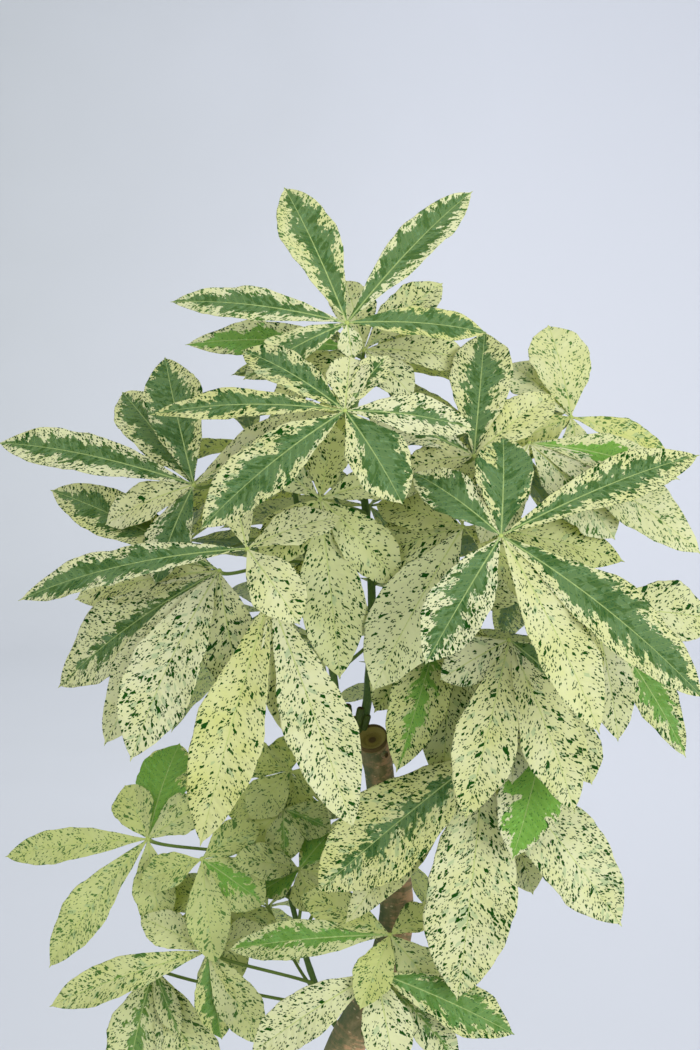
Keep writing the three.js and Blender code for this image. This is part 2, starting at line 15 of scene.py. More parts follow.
import bpy
import numpy as np
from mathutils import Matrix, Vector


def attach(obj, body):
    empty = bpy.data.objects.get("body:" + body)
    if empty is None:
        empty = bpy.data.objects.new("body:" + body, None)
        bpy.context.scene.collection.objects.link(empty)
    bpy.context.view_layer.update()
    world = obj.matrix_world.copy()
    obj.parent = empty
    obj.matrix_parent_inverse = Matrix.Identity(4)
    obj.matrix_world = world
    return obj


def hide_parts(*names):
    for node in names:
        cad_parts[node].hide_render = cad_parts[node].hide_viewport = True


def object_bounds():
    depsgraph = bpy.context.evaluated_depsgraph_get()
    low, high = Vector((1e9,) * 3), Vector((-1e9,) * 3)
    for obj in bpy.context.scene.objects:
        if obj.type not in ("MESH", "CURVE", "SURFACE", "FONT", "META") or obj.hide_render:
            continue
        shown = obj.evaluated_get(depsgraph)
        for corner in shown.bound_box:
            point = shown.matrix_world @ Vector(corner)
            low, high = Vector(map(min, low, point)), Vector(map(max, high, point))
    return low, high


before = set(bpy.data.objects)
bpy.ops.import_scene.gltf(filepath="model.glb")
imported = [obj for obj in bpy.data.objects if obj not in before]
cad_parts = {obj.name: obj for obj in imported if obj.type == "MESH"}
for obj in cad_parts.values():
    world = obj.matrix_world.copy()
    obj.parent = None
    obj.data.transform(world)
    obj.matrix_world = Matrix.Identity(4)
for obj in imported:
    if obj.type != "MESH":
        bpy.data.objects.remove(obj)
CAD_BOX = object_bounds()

LOG = logging.getLogger("money_tree")
MM = 0.001
ROOT = "root"
HEADING_STEP = 0.004

Array = np.ndarray
Triple = tuple[float, float, float]
Material = bpy.types.Material
Piece = bpy.types.Object
Rng = np.random.Generator


class Slot(Enum):
    """The record's material slots."""

    POT = "pot_clay"
    SOIL = "potting_soil"
    BARK = "bark"
    STEM = "green_stem"
    LEAF = "leaf"


class Wood(IntEnum):
    """The trunk's finishes, in the order of its materials."""

    BARK = 0
    CUT = 1
    YOUNG = 2


class Seed(IntEnum):
    """Where the random draws of each part start."""

    SOIL = 5
    GRAINS = 8
    TRUNK = 11
    LEAVES = 100
    BACK_LEAVES = 500


# Vectors and curves


def unit(vector: Array) -> Array:
    """Vectors scaled to length one, along the last axis."""
    return vector / np.maximum(np.linalg.norm(vector, axis=-1, keepdims=True), 1e-12)


def square_to(axis: Array, vector: Array) -> Array:
    """The part of vector that is square to axis, scaled to length one."""
    along = unit(axis)
    return unit(vector - np.sum(vector * along, axis=-1, keepdims=True) * along)


def turned(vector: Array, axis: Array, angle: float) -> Array:
    """Vector turned about a unit axis by the right-hand rule: the part along the axis is kept."""
    kept = axis * np.dot(axis, vector) * (1 - math.cos(angle))
    return vector * math.cos(angle) + np.cross(axis, vector) * math.sin(angle) + kept


def smooth(low: float, high: float, value: Array) -> Array:
    """A smooth step from 0 at low to 1 at high: 3x squared minus 2x cubed."""
    x = np.clip((value - low) / (high - low), 0, 1)
    return x * x * (3 - 2 * x)


def triples(*parts: Array | float) -> Array:
    """Three arrays, spread over one shape and joined along a new last axis."""
    return np.stack(np.broadcast_arrays(*parts), axis=-1)


def angles_round(count: int) -> Array:
    """Even angles round a circle, in one row."""
    return np.linspace(0, 2 * np.pi, count, endpoint=False)[None, :]


def level_rings(radius: Array, height: Array, count: int) -> Array:
    """Rings about the upright axis: radius times the angle's cosine and sine, at these heights."""
    angles = angles_round(count)
    return triples(radius * np.cos(angles), radius * np.sin(angles), height)


@dataclass(frozen=True)
class Viewpoint:
    """Where the plant is seen from, in millimetres and degrees.

    Attributes:
        middle: the point that the view is centred on.
        distance: how far the eye is from it.
        elevation: how steeply the eye looks down.
        height: how much of the plant the view takes in at the trunk.
    """

    middle: Triple = (20, 0, 1060)
    distance: float = 2000
    elevation: float = 8
    height: float = 1050

    def axes(self) -> tuple[Array, Array]:
        """The directions of sight and of up on the sheet."""
        level, down = math.cos(math.radians(self.elevation)), math.sin(math.radians(self.elevation))
        return np.array([0, level, -down]), np.array([0, down, level])

    def eye(self) -> Array:
        """The eye's place, in millimetres."""
        return np.array(self.middle) - self.distance * self.axes()[0]

    def seen(self, place: Sequence[float]) -> Array:
        """The point seen at a place on the sheet.

        The sight line runs from the eye through (across, up) on the sheet. The point is where it
        crosses the upright plane that stands forward of the trunk.

        Args:
            place: across, up and forward, in millimetres.

        Returns:
            The point in metres.
        """
        across, up, forward = place
        on_sheet = np.array(self.middle) + self.axes()[1] * (up - self.middle[2])
        on_sheet[0] = across
        eye = self.eye()
        ray = on_sheet - eye
        return (eye + ray * (-forward - eye[1]) / ray[1]) * MM


VIEW = Viewpoint()


@dataclass
class Course:
    """A smooth line through points, sampled by its length.

    It is a cubic spline whose knots lie apart by the square roots of the points' distances.

    Attributes:
        points: the points that it runs through, one row each.
        samples: how many straight steps stand for one stretch between two points.
        line, lengths: the sampled points, and how far along each of them lies.
    """

    points: Array
    samples: int = 24
    line: Array = field(init=False)
    lengths: Array = field(init=False)

    def __post_init__(self) -> None:
        """Samples the spline and adds up its length."""
        points = np.asarray(self.points, float)
        padded = np.vstack([2 * points[0] - points[1], points, 2 * points[-1] - points[-2]])
        knots = np.concatenate([[0], np.cumsum(np.linalg.norm(np.diff(padded, axis=0), axis=1) ** 0.5)])
        pieces = [self._stretch(padded[i : i + 4], knots[i : i + 4]) for i in range(len(points) - 1)]
        self.line = np.vstack([*pieces, points[-1:]])
        self.lengths = np.concatenate([[0], np.cumsum(np.linalg.norm(np.diff(self.line, axis=0), axis=1))])

    def _stretch(self, four: Array, knots: Array) -> Array:
        """The spline between the middle two of four points, by repeated mixing.

        Args:
            four: the points.
            knots: their places along the spline.

        Returns:
            The samples, without the last point.
        """
        t = np.linspace(knots[1], knots[2], self.samples, endpoint=False)[:, None]
        mix = lambda p, q, a, b: ((b - t) * p + (t - a) * q) / (b - a)
        low = [mix(four[i], four[i + 1], knots[i], knots[i + 1]) for i in range(3)]
        mid = [mix(low[i], low[i + 1], knots[i], knots[i + 2]) for i in range(2)]
        return mix(mid[0], mid[1], knots[1], knots[2])

    def at(self, share: Array | float) -> Array:
        """The points at shares of the whole length."""
        where = np.atleast_1d(share) * self.lengths[-1]
        return np.stack([np.interp(where, self.lengths, self.line[:, k]) for k in range(3)], axis=-1)

    def heading(self, share: Array | float) -> Array:
        """The unit directions of the line at shares of its length."""
        before, after = (self.at(np.clip(share + step, 0, 1)) for step in (-HEADING_STEP, HEADING_STEP))
        return unit(after - before)


# Meshes


@dataclass
class Skin:
    """Grids of points gathered into one mesh, with what its finish reads.

    Attributes:
        points: the vertices of each grid.
        quads: the faces of each grid.
        marks: named vectors at the vertices, in the same order.
        finishes: the material number of each face.
        count: how many vertices there are so far.
    """

    points: list[Array] = field(default_factory=list)
    quads: list[Array] = field(default_factory=list)
    marks: dict[str, list[Array]] = field(default_factory=dict)
    finishes: list[Array] = field(default_factory=list)
    count: int = 0

    def add_grid(self, grid: Array, marks: dict[str, Array] | None = None, finish: int | Array = 0) -> None:
        """Adds a tube of rings, closed round and capped by a fan at each end, with its faces outward.

        Each ring's points follow one another round the tube. A quad joins every two neighbours to
        the two beside them on the next ring, and each end closes on the middle of its ring. The faces
        are turned over if the volume that they enclose comes out below zero.

        Args:
            grid: rings by points round by 3.
            marks: named arrays, rings by points round by 3.
            finish: the material number, or one for each band between two rings.
        """
        rows, cols = grid.shape[:2]
        index = np.arange(rows * cols).reshape(rows, cols)
        beside = np.roll(index, -1, axis=1)
        sides = np.stack([index[:-1], beside[:-1], beside[1:], index[1:]], axis=-1).reshape(-1, 4)
        first, last = np.full(cols, rows * cols), np.full(cols, rows * cols + 1)
        start = np.stack([beside[0], index[0], first, first], axis=-1)
        end = np.stack([index[-1], beside[-1], last, last], axis=-1)
        faces = np.vstack([sides, start, end])
        points = np.vstack([grid.reshape(-1, 3), grid[0].mean(0), grid[-1].mean(0)])
        a, b, c, d = (points[faces[:, k]] - points[0] for k in range(4))
        if np.sum(a * (np.cross(b, c) + np.cross(c, d))) < 0:
            faces[:, [0, 1]] = faces[:, [1, 0]]
            faces[: len(sides), [2, 3]] = faces[: len(sides), [3, 2]]
        bands = np.broadcast_to(finish, rows - 1)
        self.points.append(points)
        self.quads.append(faces + self.count)
        self.finishes.append(np.repeat(np.concatenate([bands, bands[[0, -1]]]), cols))
        for name, values in (marks or {}).items():
            flat = np.vstack([values.reshape(-1, 3), values[0].mean(0), values[-1].mean(0)])
            self.marks.setdefault(name, []).append(flat)
        self.count += len(points)

    def build(self, name: str, materials: Sequence[Material], slot: Slot, *nodes: str) -> Piece:
        """Makes the mesh, puts its finishes on and ties it to the frame.

        Args:
            name: the piece's name.
            materials: its materials, in the order of the finishes' numbers.
            slot: the record's slot; not used.
            nodes: the solids that it stands for.

        Returns:
            The new object.
        """
        points = np.clip(np.vstack(self.points), *np.array(CAD_BOX))
        quads = np.vstack(self.quads)
        corners = np.where(quads[:, 2] == quads[:, 3], 3, 4)
        loops = quads.reshape(-1)[(np.arange(4)[None, :] < corners[:, None]).reshape(-1)]
        mesh = bpy.data.meshes.new(name)
        mesh.vertices.add(len(points))
        mesh.loops.add(len(loops))
        mesh.polygons.add(len(quads))
        for items, setting, values, kind in (
            (mesh.vertices, "co", points, np.float32),
            (mesh.loops, "vertex_index", loops, np.int32),
            (mesh.polygons, "loop_start", np.cumsum(corners) - corners, np.int32),
            (mesh.polygons, "material_index", np.concatenate(self.finishes), np.int32),
            (mesh.polygons, "use_smooth", np.ones(len(quads)), bool),
        ):
            items.foreach_set(setting, values.astype(kind).reshape(-1))
        for mark, values in self.marks.items():
            layer = mesh.attributes.new(mark, "FLOAT_VECTOR", "POINT")
            layer.data.foreach_set("vector", np.vstack(values).astype(np.float32).reshape(-1))
        for material in materials:
            mesh.materials.append(material)
        mesh.update(calc_edges=True)
        piece = bpy.data.objects.new(name, mesh)
        bpy.context.scene.collection.objects.link(piece)
        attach(piece, ROOT)
        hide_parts(*nodes)
        return piece


def tube(
    course: Course, shares: Array, radius: Array, count: int, pale: Array | float = 0.0
) -> tuple[Array, Array]:
    """Round rings along a course, with the mark that a stem's finish reads.

    At each share of the way, the ring's points are the course's point plus the radius times the
    cosine of the angle towards the front and its sine towards the viewer's left.

    Args:
        course: the middle line.
        shares: where the rings stand.
        radius: the rings' radii, or rings by count, in metres.
        count: points in a ring.
        pale: how pale the stem is.

    Returns:
        The points, rings by count by 3, and the mark: the sine, millimetres along, and pale.
    """
    heading = course.heading(shares)
    front = square_to(heading, np.broadcast_to([0.0, -1.0, 0.0], heading.shape))
    left = np.cross(front, heading)
    angles = angles_round(count)[..., None]
    spokes = front[:, None] * np.cos(angles) + left[:, None] * np.sin(angles)
    points = course.at(shares)[:, None] + spokes * np.reshape(radius, (len(shares), -1, 1))
    return points, triples(np.sin(angles[..., 0]), shares[:, None] * course.lengths[-1] / MM, pale)


# Shader maths


def operator(operation: str, flipped: bool = False) -> Callable[..., "Num"]:
    """A method that adds one Math node.

    Args:
        operation: the node's operation.
        flipped: whether the number itself comes last.

    Returns:
        The method.
    """

    def method(self: "Num", *others: "Num | float") -> "Num":
        """One Math node on these values."""
        values = (*others, self) if flipped else (self, *others)
        return self.graph.value("ShaderNodeMath", {"operation": operation}, dict(enumerate(values)))

    return method


class Num:
    """A shader socket that holds a number, so that Python's operators add Math nodes."""

    def __init__(self, graph: "Graph", socket: bpy.types.NodeSocket) -> None:
        """Keeps the graph and the socket."""
        self.graph = graph
        self.socket = socket

    __add__ = __radd__ = operator("ADD")
    __mul__ = __rmul__ = operator("MULTIPLY")
    __sub__ = operator("SUBTRACT")
    __rsub__ = operator("SUBTRACT", flipped=True)
    __truediv__ = operator("DIVIDE")
    __rtruediv__ = operator("DIVIDE", flipped=True)
    __gt__ = operator("GREATER_THAN")
    __lt__ = operator("LESS_THAN")
    __abs__ = operator("ABSOLUTE")
    sine = operator("SINE")
    fraction = operator("FRACT")

    def clamped(self) -> "Num":
        """Held between 0 and 1."""
        return self.graph.value("ShaderNodeClamp", {}, {"Value": self})

    def step(self, low: float, high: float) -> "Num":
        """A smooth step from 0 at low to 1 at high."""
        values = {"Value": self, "From Min": low, "From Max": high}
        return self.graph.value("ShaderNodeMapRange", {"interpolation_type": "SMOOTHSTEP"}, values)


Place = Num | tuple[Num | float, ...]


def dimensions(place: Place) -> str:
    """What a texture reads: 2D for a place of two numbers, else 3D."""
    return "2D" if isinstance(place, tuple) and len(place) == 2 else "3D"


class Graph:
    """A material's nodes, made by one method."""

    def __init__(self, name: str) -> None:
        """Starts a material with an empty node tree.

        Args:
            name: the material's name.
        """
        self.material = bpy.data.materials.new(name)
        self.material.use_nodes = True
        self.tree = self.material.node_tree
        self.tree.nodes.clear()

    def node(self, kind: str, settings: dict[str, Any], inputs: dict[Any, Any]) -> bpy.types.Node:
        """Adds a node, sets it and fills its sockets.

        Args:
            kind: the node's type.
            settings: its own settings, which are set first.
            inputs: values or links by socket name or number. A tuple with a link in it is joined
                into a vector.

        Returns:
            The new node.
        """
        made = self.tree.nodes.new(kind)
        for setting, value in settings.items():
            setattr(made, setting, value)
        for key, value in inputs.items():
            if isinstance(value, tuple) and any(isinstance(part, Num) for part in value):
                value = self.value("ShaderNodeCombineXYZ", {}, dict(enumerate(value)))
            if isinstance(value, Num):
                self.tree.links.new(value.socket, made.inputs[key])
            else:
                made.inputs[key].default_value = value
        return made

    def value(self, kind: str, settings: dict[str, Any], inputs: dict[Any, Any], output: Any = 0) -> Num:
        """Adds a node and gives one of its outputs, by name or number."""
        return Num(self, self.node(kind, settings, inputs).outputs[output])

    def parts(self, vector: Num) -> tuple[Num, Num, Num]:
        """The three numbers of a vector."""
        made = self.node("ShaderNodeSeparateXYZ", {}, {0: vector})
        return tuple(Num(self, made.outputs[axis]) for axis in "XYZ")

    def mark(self, name: str) -> tuple[Num, Num, Num]:
        """The three numbers of a mesh's named mark."""
        return self.parts(self.value("ShaderNodeAttribute", {"attribute_name": name}, {}, "Vector"))

    def place(self) -> Num:
        """The point's own place on the object, in metres."""
        return self.value("ShaderNodeTexCoord", {}, {}, "Object")

    def noise(self, place: Place, scale: float = 1, detail: float = 3, rough: float = 0.55) -> Num:
        """Smooth noise about 0.5, flat for a place of two numbers, with finer layers as rough as given."""
        values = {"Vector": place, "Scale": scale, "Detail": detail, "Roughness": rough}
        return self.value("ShaderNodeTexNoise", {"noise_dimensions": dimensions(place)}, values)

    def cells(self, place: Place, scale: float = 1) -> tuple[Num, Num, Num]:
        """Round cells, or square ones where the place is flat.

        Args:
            place: where, as a vector or as numbers. Two numbers make flat cells.
            scale: how many cells there are to a unit.

        Returns:
            The distance from a cell's middle, and two of its random numbers.
        """
        kind = dimensions(place)
        settings = {"voronoi_dimensions": kind, "distance": "CHEBYCHEV" if kind == "2D" else "EUCLIDEAN"}
        made = self.node("ShaderNodeTexVoronoi", settings, {"Vector": place, "Scale": scale})
        first, second, _ = self.parts(Num(self, made.outputs["Color"]))
        return Num(self, made.outputs["Distance"]), first, second

    def layers(self, body: Any, *over: tuple[Num | float, Any]) -> Num:
        """A colour with others laid over it in turn.

        Args:
            body: the first colour.
            over: a factor and a colour for each that is laid over it.

        Returns:
            The mixed colour.
        """
        settings = {"data_type": "RGBA", "clamp_factor": True}
        for factor, tint in over:
            body = self.value("ShaderNodeMix", settings, {"Factor": factor, 6: body, 7: tint}, 2)
        return body

    def surface(self, body: Num, roughness: Num | float, relief: tuple = (), gloss: float = 0.5) -> Num:
        """A surface of one colour pattern.

        Args:
            body: its colour.
            roughness: its roughness.
            relief: a height between 0 and 1, how many metres that is, and the bump's strength.
            gloss: its specular level.

        Returns:
            The shader.
        """
        values = {"Base Color": body, "Roughness": roughness, "Specular IOR Level": gloss}
        if relief:
            bump = dict(zip(("Height", "Distance", "Strength"), relief))
            values["Normal"] = self.value("ShaderNodeBump", {}, bump)
        return self.value("ShaderNodeBsdfPrincipled", {}, values)

    def finish(self, surface: Num) -> Material:
        """Sends a shader to the output and gives the material."""
        self.node("ShaderNodeOutputMaterial", {}, {"Surface": surface})
        return self.material


def colour(red: float, green: float, blue: float) -> tuple[float, float, float, float]:
    """A colour in linear light from one written as it looks on a screen, 0 to 255."""
    linear = [((c / 255 + 0.055) / 1.055) ** 2.4 if c > 10 else c / 255 / 12.92 for c in (red, green, blue)]
    return (*linear, 1.0)


# Finishes


@dataclass(frozen=True)
class LeafFinish:
    """Cream leaf with dark spots along its side veins, and on some leaflets a green middle.

    The mesh's marks give the place on the blade. blade is the distance across from the midrib, along
    it, both in millimetres, and the leaflet's seed. place is across as a share of the half width, along
    as a share of the length, and how much of the leaflet is green. look is its tone, 1 on the underside,
    and how blotched it is. age is how yellow, partly as painted shade, how fresh a green
    and how faded it is.

    Attributes:
        cream, olive, yellow: the ground in light; the ground of shaded leaflets, laid on by each leaflet's
        random tone; and a duller ground on leaves low and inside the crown, partly painted shade.
        dash, soft_dash: the dark spots, and where they have faded.
        green, deep, bright: the green middle, its darker blocks, and fresh leaflets.
        ghost: the blurred grey-green patches.
        rib, pale_rib: the midrib on green and on cream.
        through, glow: the light that shines through, and how much of it.
        gloss: the specular level.
        vein_slope: how far along the blade a side vein runs for each step across.
        vein_gap: millimetres from one side vein to the next.
        fine, middling, large, haze: the length and width of each kind of spot's cells.
    """

    cream: tuple = colour(228, 226, 190)
    olive: tuple = colour(208, 208, 134)
    yellow: tuple = colour(176, 188, 112)
    dash: tuple = colour(10, 58, 2)
    soft_dash: tuple = colour(104, 136, 70)
    green: tuple = colour(85, 113, 72)
    deep: tuple = colour(44, 78, 32)
    bright: tuple = colour(112, 160, 66)
    ghost: tuple = colour(132, 166, 136)
    rib: tuple = colour(158, 176, 110)
    pale_rib: tuple = colour(188, 200, 126)
    through: tuple = colour(208, 216, 76)
    glow: float = 0.48
    gloss: float = 0.06
    vein_slope: float = 0.75
    vein_gap: float = 9
    fine: tuple = (2.1, 1.9)
    middling: tuple = (4.2, 3.4)
    large: tuple = (9, 5.5)
    haze: tuple = (11, 6)

    def spots(self, graph: Graph, place: tuple[Num, Num], size: tuple, share: Num) -> tuple[Num, Num]:
        """Angular spots: a share of the cells along the side veins, each shrunk by its own amount.

        Args:
            graph: the material's nodes.
            place: millimetres out along the side vein, and across the side veins.
            size: a cell's length and width in millimetres.
            share: the share of cells that are dark.

        Returns:
            1 on a spot and 0 elsewhere, and a random number of the cell.
        """
        distance, first, second = graph.cells((place[0] / size[0], place[1] / size[1]))
        inside = (second * 0.24 + 0.25 - distance).step(-0.03, 0.03)
        return (share > first) * inside, second

    def material(self) -> Material:
        """The whole leaf blade's material.

        Spots of three sizes lie in cells along the side veins, which two noises bend. The larger two
        gather where a slow noise is high. The green middle reaches out to a share of the half width
        that varies from cell to cell, so its edge breaks up into teeth and islands along the side
        veins, and it leans to one side. Each half of each leaflet starts elsewhere in the noises.

        Returns:
            The material.
        """
        graph = Graph("variegated_leaf")
        across, along, seed = graph.mark("blade")
        edge, share, green = graph.mark("place")
        tone, under, blotched = graph.mark("look")
        yellowed_and_shaded, fresh, faded = graph.mark("age")
        out = abs(across)
        bulge = abs(edge)
        start = seed * 29 + (across > 0) * 1300
        vein = along - out * self.vein_slope
        reach = out * math.hypot(1, self.vein_slope) + start
        bends = {"Vector": (reach / 3.4, vein / 3), "Scale": 1, "Detail": 2}
        both = graph.value("ShaderNodeTexNoise", {"noise_dimensions": "2D"}, bends, "Color")
        sway, swing, _ = graph.parts(both)
        place = (reach + (sway - 0.5) * 1.8, vein + (swing - 0.5) * 1.8)
        broad = graph.noise((across / 26 + seed * 3, along / 34), 1, 2)
        gather = graph.noise((reach / 15, vein / 9 + 77), 1, 1).step(0.54, 0.66) * blotched
        plenty = ((broad - 0.32) * 2.4).clamped()
        lively = bulge.step(0.5, 1.0) * 0.1 + green.step(0.1, 0.4) * 0.1

        fine, grain = self.spots(graph, place, self.fine, plenty * 0.18 + lively + 0.13)
        many = plenty * 0.1 + gather * 0.45 + lively * 0.4 + 0.05
        middling, flake = self.spots(graph, place, self.middling, many)
        large, block = self.spots(graph, place, self.large, gather * 0.45 + plenty * 0.04)
        dashes = 1 - (1 - fine) * (1 - middling) * (1 - large)
        hazy, _ = self.spots(graph, place, self.haze, blotched * 0.3 + (0.4 - bulge) * 0.2)

        slow = graph.noise((vein / 20 + start, seed), 1, 1) - 0.5
        lean = ((seed * 7).sine() * ((across > 0) * 2 - 1)) * green
        limit = green * 1.1 + lean * 0.24 + slow * (green + 0.15) * 1.5 + (block - 0.5) * 0.36
        limit = limit + (flake - 0.5) * 0.26 + (grain - 0.5) * 0.08
        limit = limit - share.step(0.6, 1.05) * 0.3 - (0.2 - green).step(0, 0.12) * 0.7
        middle = (limit - bulge).step(-0.01, 0.02)

        spot = graph.layers(self.dash, (faded, self.soft_dash))
        # Yellow lies on leaves low and inside the crown: partly their duller colour, partly painted shade.
        ground = graph.layers(
            self.cream,
            ((tone + (broad - 0.5) * 0.9).clamped(), self.olive),
            (yellowed_and_shaded, self.yellow),
            (hazy * 0.5, self.ghost),
            (dashes, spot),
        )
        line = (abs((vein / self.vein_gap).fraction() - 0.5) - 0.45).step(0, 0.04)
        patch = graph.layers(
            self.green,
            ((block * 0.5 + flake * 0.3 + broad - 1.01).step(-0.04, 0.04) * 0.72, self.deep),
            (fresh * 0.85, self.bright),
            (fine * (grain - 0.25).clamped() * 0.9, spot),
            (line * 0.25, self.rib),
        )
        midrib = (0.82 - share * 0.55 - out).step(-0.15, 0.2)
        vein_tint = graph.layers(self.pale_rib, (middle, self.rib))
        body = graph.layers(ground, (middle, patch), (midrib * 0.8, vein_tint), (under * 0.3, self.ghost))

        pillow = ((vein / self.vein_gap) * (2 * math.pi)).sine() * 0.3 + 0.5
        height = pillow - midrib * 0.4 + graph.noise((across / 5, along / 5), 1, 2) * 0.5
        blade = graph.surface(body, 0.48 + (broad - 0.5) * 0.2, (height, 0.0009, 0.6), self.gloss)
        glow = graph.value("ShaderNodeBsdfTranslucent", {}, {"Color": self.through})
        lit = (1 - dashes * 0.9) * (1 - middle * 0.4) * self.glow
        return graph.finish(graph.value("ShaderNodeMixShader", {}, {0: lit, 1: blade, 2: glow}))


@dataclass(frozen=True)
class StemFinish:
    """A green petiole or shoot, mottled along its length and paler at the hubs.

    Attributes:
        name: the material's name.
        light: the paler green.
        dark: the darker green.
        hub: the hubs' yellow-green.
    """

    name: str
    light: tuple = colour(122, 142, 62)
    dark: tuple = colour(62, 90, 34)
    hub: tuple = colour(150, 164, 84)

    def material(self) -> Material:
        """Green, mottled by noise stretched along the stem, with faint lengthwise ridges as bump.

        Returns:
            The material.
        """
        graph = Graph(self.name)
        round_it, along, pale = graph.mark("stem")
        mottle = graph.noise((round_it * 2, along / 9, 0), 2.2, 4)
        ridges = graph.noise((round_it * 9, along / 40, 1), 2, 2)
        green = (mottle * 1.6 - 0.3).clamped()
        body = graph.layers(self.dark, (green, self.light), (pale, self.hub))
        return graph.finish(graph.surface(body, 0.42 + mottle * 0.2, (ridges, 0.0004, 0.6), 0.25))


@dataclass(frozen=True)
class BarkFinish:
    """Grey-brown bark with rusty and mossy patches, fine cracks and pale breathing pores, paler to the
    right and darker to the left as painted light and shade.
    """

    grey: tuple = colour(150, 136, 100)
    dark: tuple = colour(82, 76, 40)
    rust_and_light: tuple = colour(184, 142, 104)
    pore: tuple = colour(186, 170, 130)
    moss_and_shade: tuple = colour(80, 96, 64)

    def material(self) -> Material:
        """Patches from broad noise, cracks from noise squeezed lengthwise, pores from sparse cells.

        Rust leans to the viewer's right side as painted light, and moss to the left as painted shade, over
        their own patches.

        Returns:
            The material.
        """
        graph = Graph("bark")
        round_it, along, _ = graph.mark("stem")
        broad = graph.noise((round_it * 1.3, along / 26, 0), 1.4, 5, 0.62)
        patchy = graph.noise((round_it * 0.9, along / 7, 9), 1.5, 4, 0.62)
        cracks = graph.noise((round_it * 5, along / 26, 4), 2.6, 6, 0.65)
        distance, first, _ = graph.cells((round_it * 3.2, along / 3.4, 5))
        pores = (0.2 - first).step(0, 0.02) * (0.34 - distance).step(0, 0.12)
        body = graph.layers(
            self.grey,
            ((broad * 2 - 0.5).clamped(), self.dark),
            # The rust's lean to the right is painted light; the moss's lean to the left is painted shade.
            ((patchy - round_it * 0.04).step(0.5, 0.62) * 0.75, self.rust_and_light),
            ((broad * 2.6 + round_it * 0.7 - 1.05).clamped() * 0.85, self.moss_and_shade),
            (cracks.step(0.58, 0.74) * 0.4, self.dark),
            (pores * 0.7, self.pore),
        )
        height = cracks * 0.8 + pores * 0.35 + graph.noise((round_it * 9, along / 3, 2), 1.5, 3) * 0.3
        return graph.finish(graph.surface(body, 0.82 - patchy * 0.1, (height, 0.0016, 0.8), 0.25))


@dataclass(frozen=True)
class CutFinish:
    """The pruned end: dry wood with rings round its pith, and a raised lip of callus."""

    wood: tuple = colour(138, 122, 56)
    callus: tuple = colour(156, 142, 78)
    dark: tuple = colour(66, 42, 14)
    pith: tuple = colour(150, 134, 80)

    def material(self) -> Material:
        """Rings by the mark's distance from the pith, in millimetres, broken up by noise.

        Returns:
            The material.
        """
        graph = Graph("cut_wood")
        distance, angle, _ = graph.mark("stem")
        speckle = graph.noise((distance / 3, angle, 0), 3, 5, 0.7)
        rings = (distance * 1.1 + speckle * 6).sine() * 0.5 + 0.5
        body = graph.layers(
            self.wood,
            ((rings * 0.16 + speckle * 1.1 - 0.42).clamped(), self.dark),
            (distance.step(8, 11) * 0.6, self.callus),
            (distance.step(14.2, 15.2) * 0.8, self.dark),
            ((4.6 - distance + speckle).step(0, 1.6) * 0.8, self.dark),
            ((1.2 - distance).step(0, 0.5) * 0.7, self.pith),
        )
        return graph.finish(graph.surface(body, 0.85, (rings * 0.5 + speckle, 0.0008, 0.7)))


@dataclass(frozen=True)
class ClayFinish:
    """Matte fired clay in off-white, with fine speckles, faint turning marks and a warmer, darker foot."""

    clay: tuple = colour(226, 222, 212)
    warm: tuple = colour(206, 196, 180)
    speck: tuple = colour(120, 106, 90)

    def material(self) -> Material:
        """Speckles from sparse cells, turning marks from noise that changes mostly with height.

        Returns:
            The material.
        """
        graph = Graph("pot_clay")
        place = graph.place()
        x, y, z = graph.parts(place)
        cloud = graph.noise(place, 9, 5, 0.6)
        distance, first, second = graph.cells(place, 420)
        specks = (0.06 - first).step(0, 0.01) * (second * 0.3 + 0.2 - distance).step(0, 0.1)
        marks = graph.noise((x * 3, y * 3, z * 260), 1, 3)
        foot = z.step(0.012, 0.0) * 0.4
        tints = (cloud.step(0.4, 0.75), self.warm), (foot, self.warm), (specks * 0.65, self.speck)
        body = graph.layers(self.clay, *tints)
        height = marks * 0.6 + graph.noise(place, 900, 3) * 0.4
        return graph.finish(graph.surface(body, 0.62 + cloud * 0.15, (height, 0.0005, 0.5)))


@dataclass(frozen=True)
class SoilFinish:
    """Dark damp potting soil with brown fibres and a few pale grains."""

    dark: tuple = colour(58, 44, 34)
    brown: tuple = colour(104, 80, 58)
    pale: tuple = colour(198, 190, 174)

    def material(self) -> Material:
        """Clumps from noise and crumbs from cells, some of them pale, with rough bump.

        Returns:
            The material.
        """
        graph = Graph("potting_soil")
        place = graph.place()
        clumps = graph.noise(place, 60, 6, 0.7)
        distance, first, second = graph.cells(place, 230)
        crumbs = (first * 0.7 + clumps * 0.5 - 0.2).clamped()
        body = graph.layers(self.dark, (crumbs, self.brown), ((0.03 - second).step(0, 0.01), self.pale))
        height = clumps * 0.7 + (1 - distance) * 0.5
        return graph.finish(graph.surface(body, 0.9 - first * 0.1, (height, 0.004, 0.9)))


# Wood and shoots


def tapered(radii: tuple[float, float], share: Array) -> Array:
    """A radius in metres that runs straight from the first of two in millimetres to the second."""
    return (radii[0] + (radii[1] - radii[0]) * share) * MM


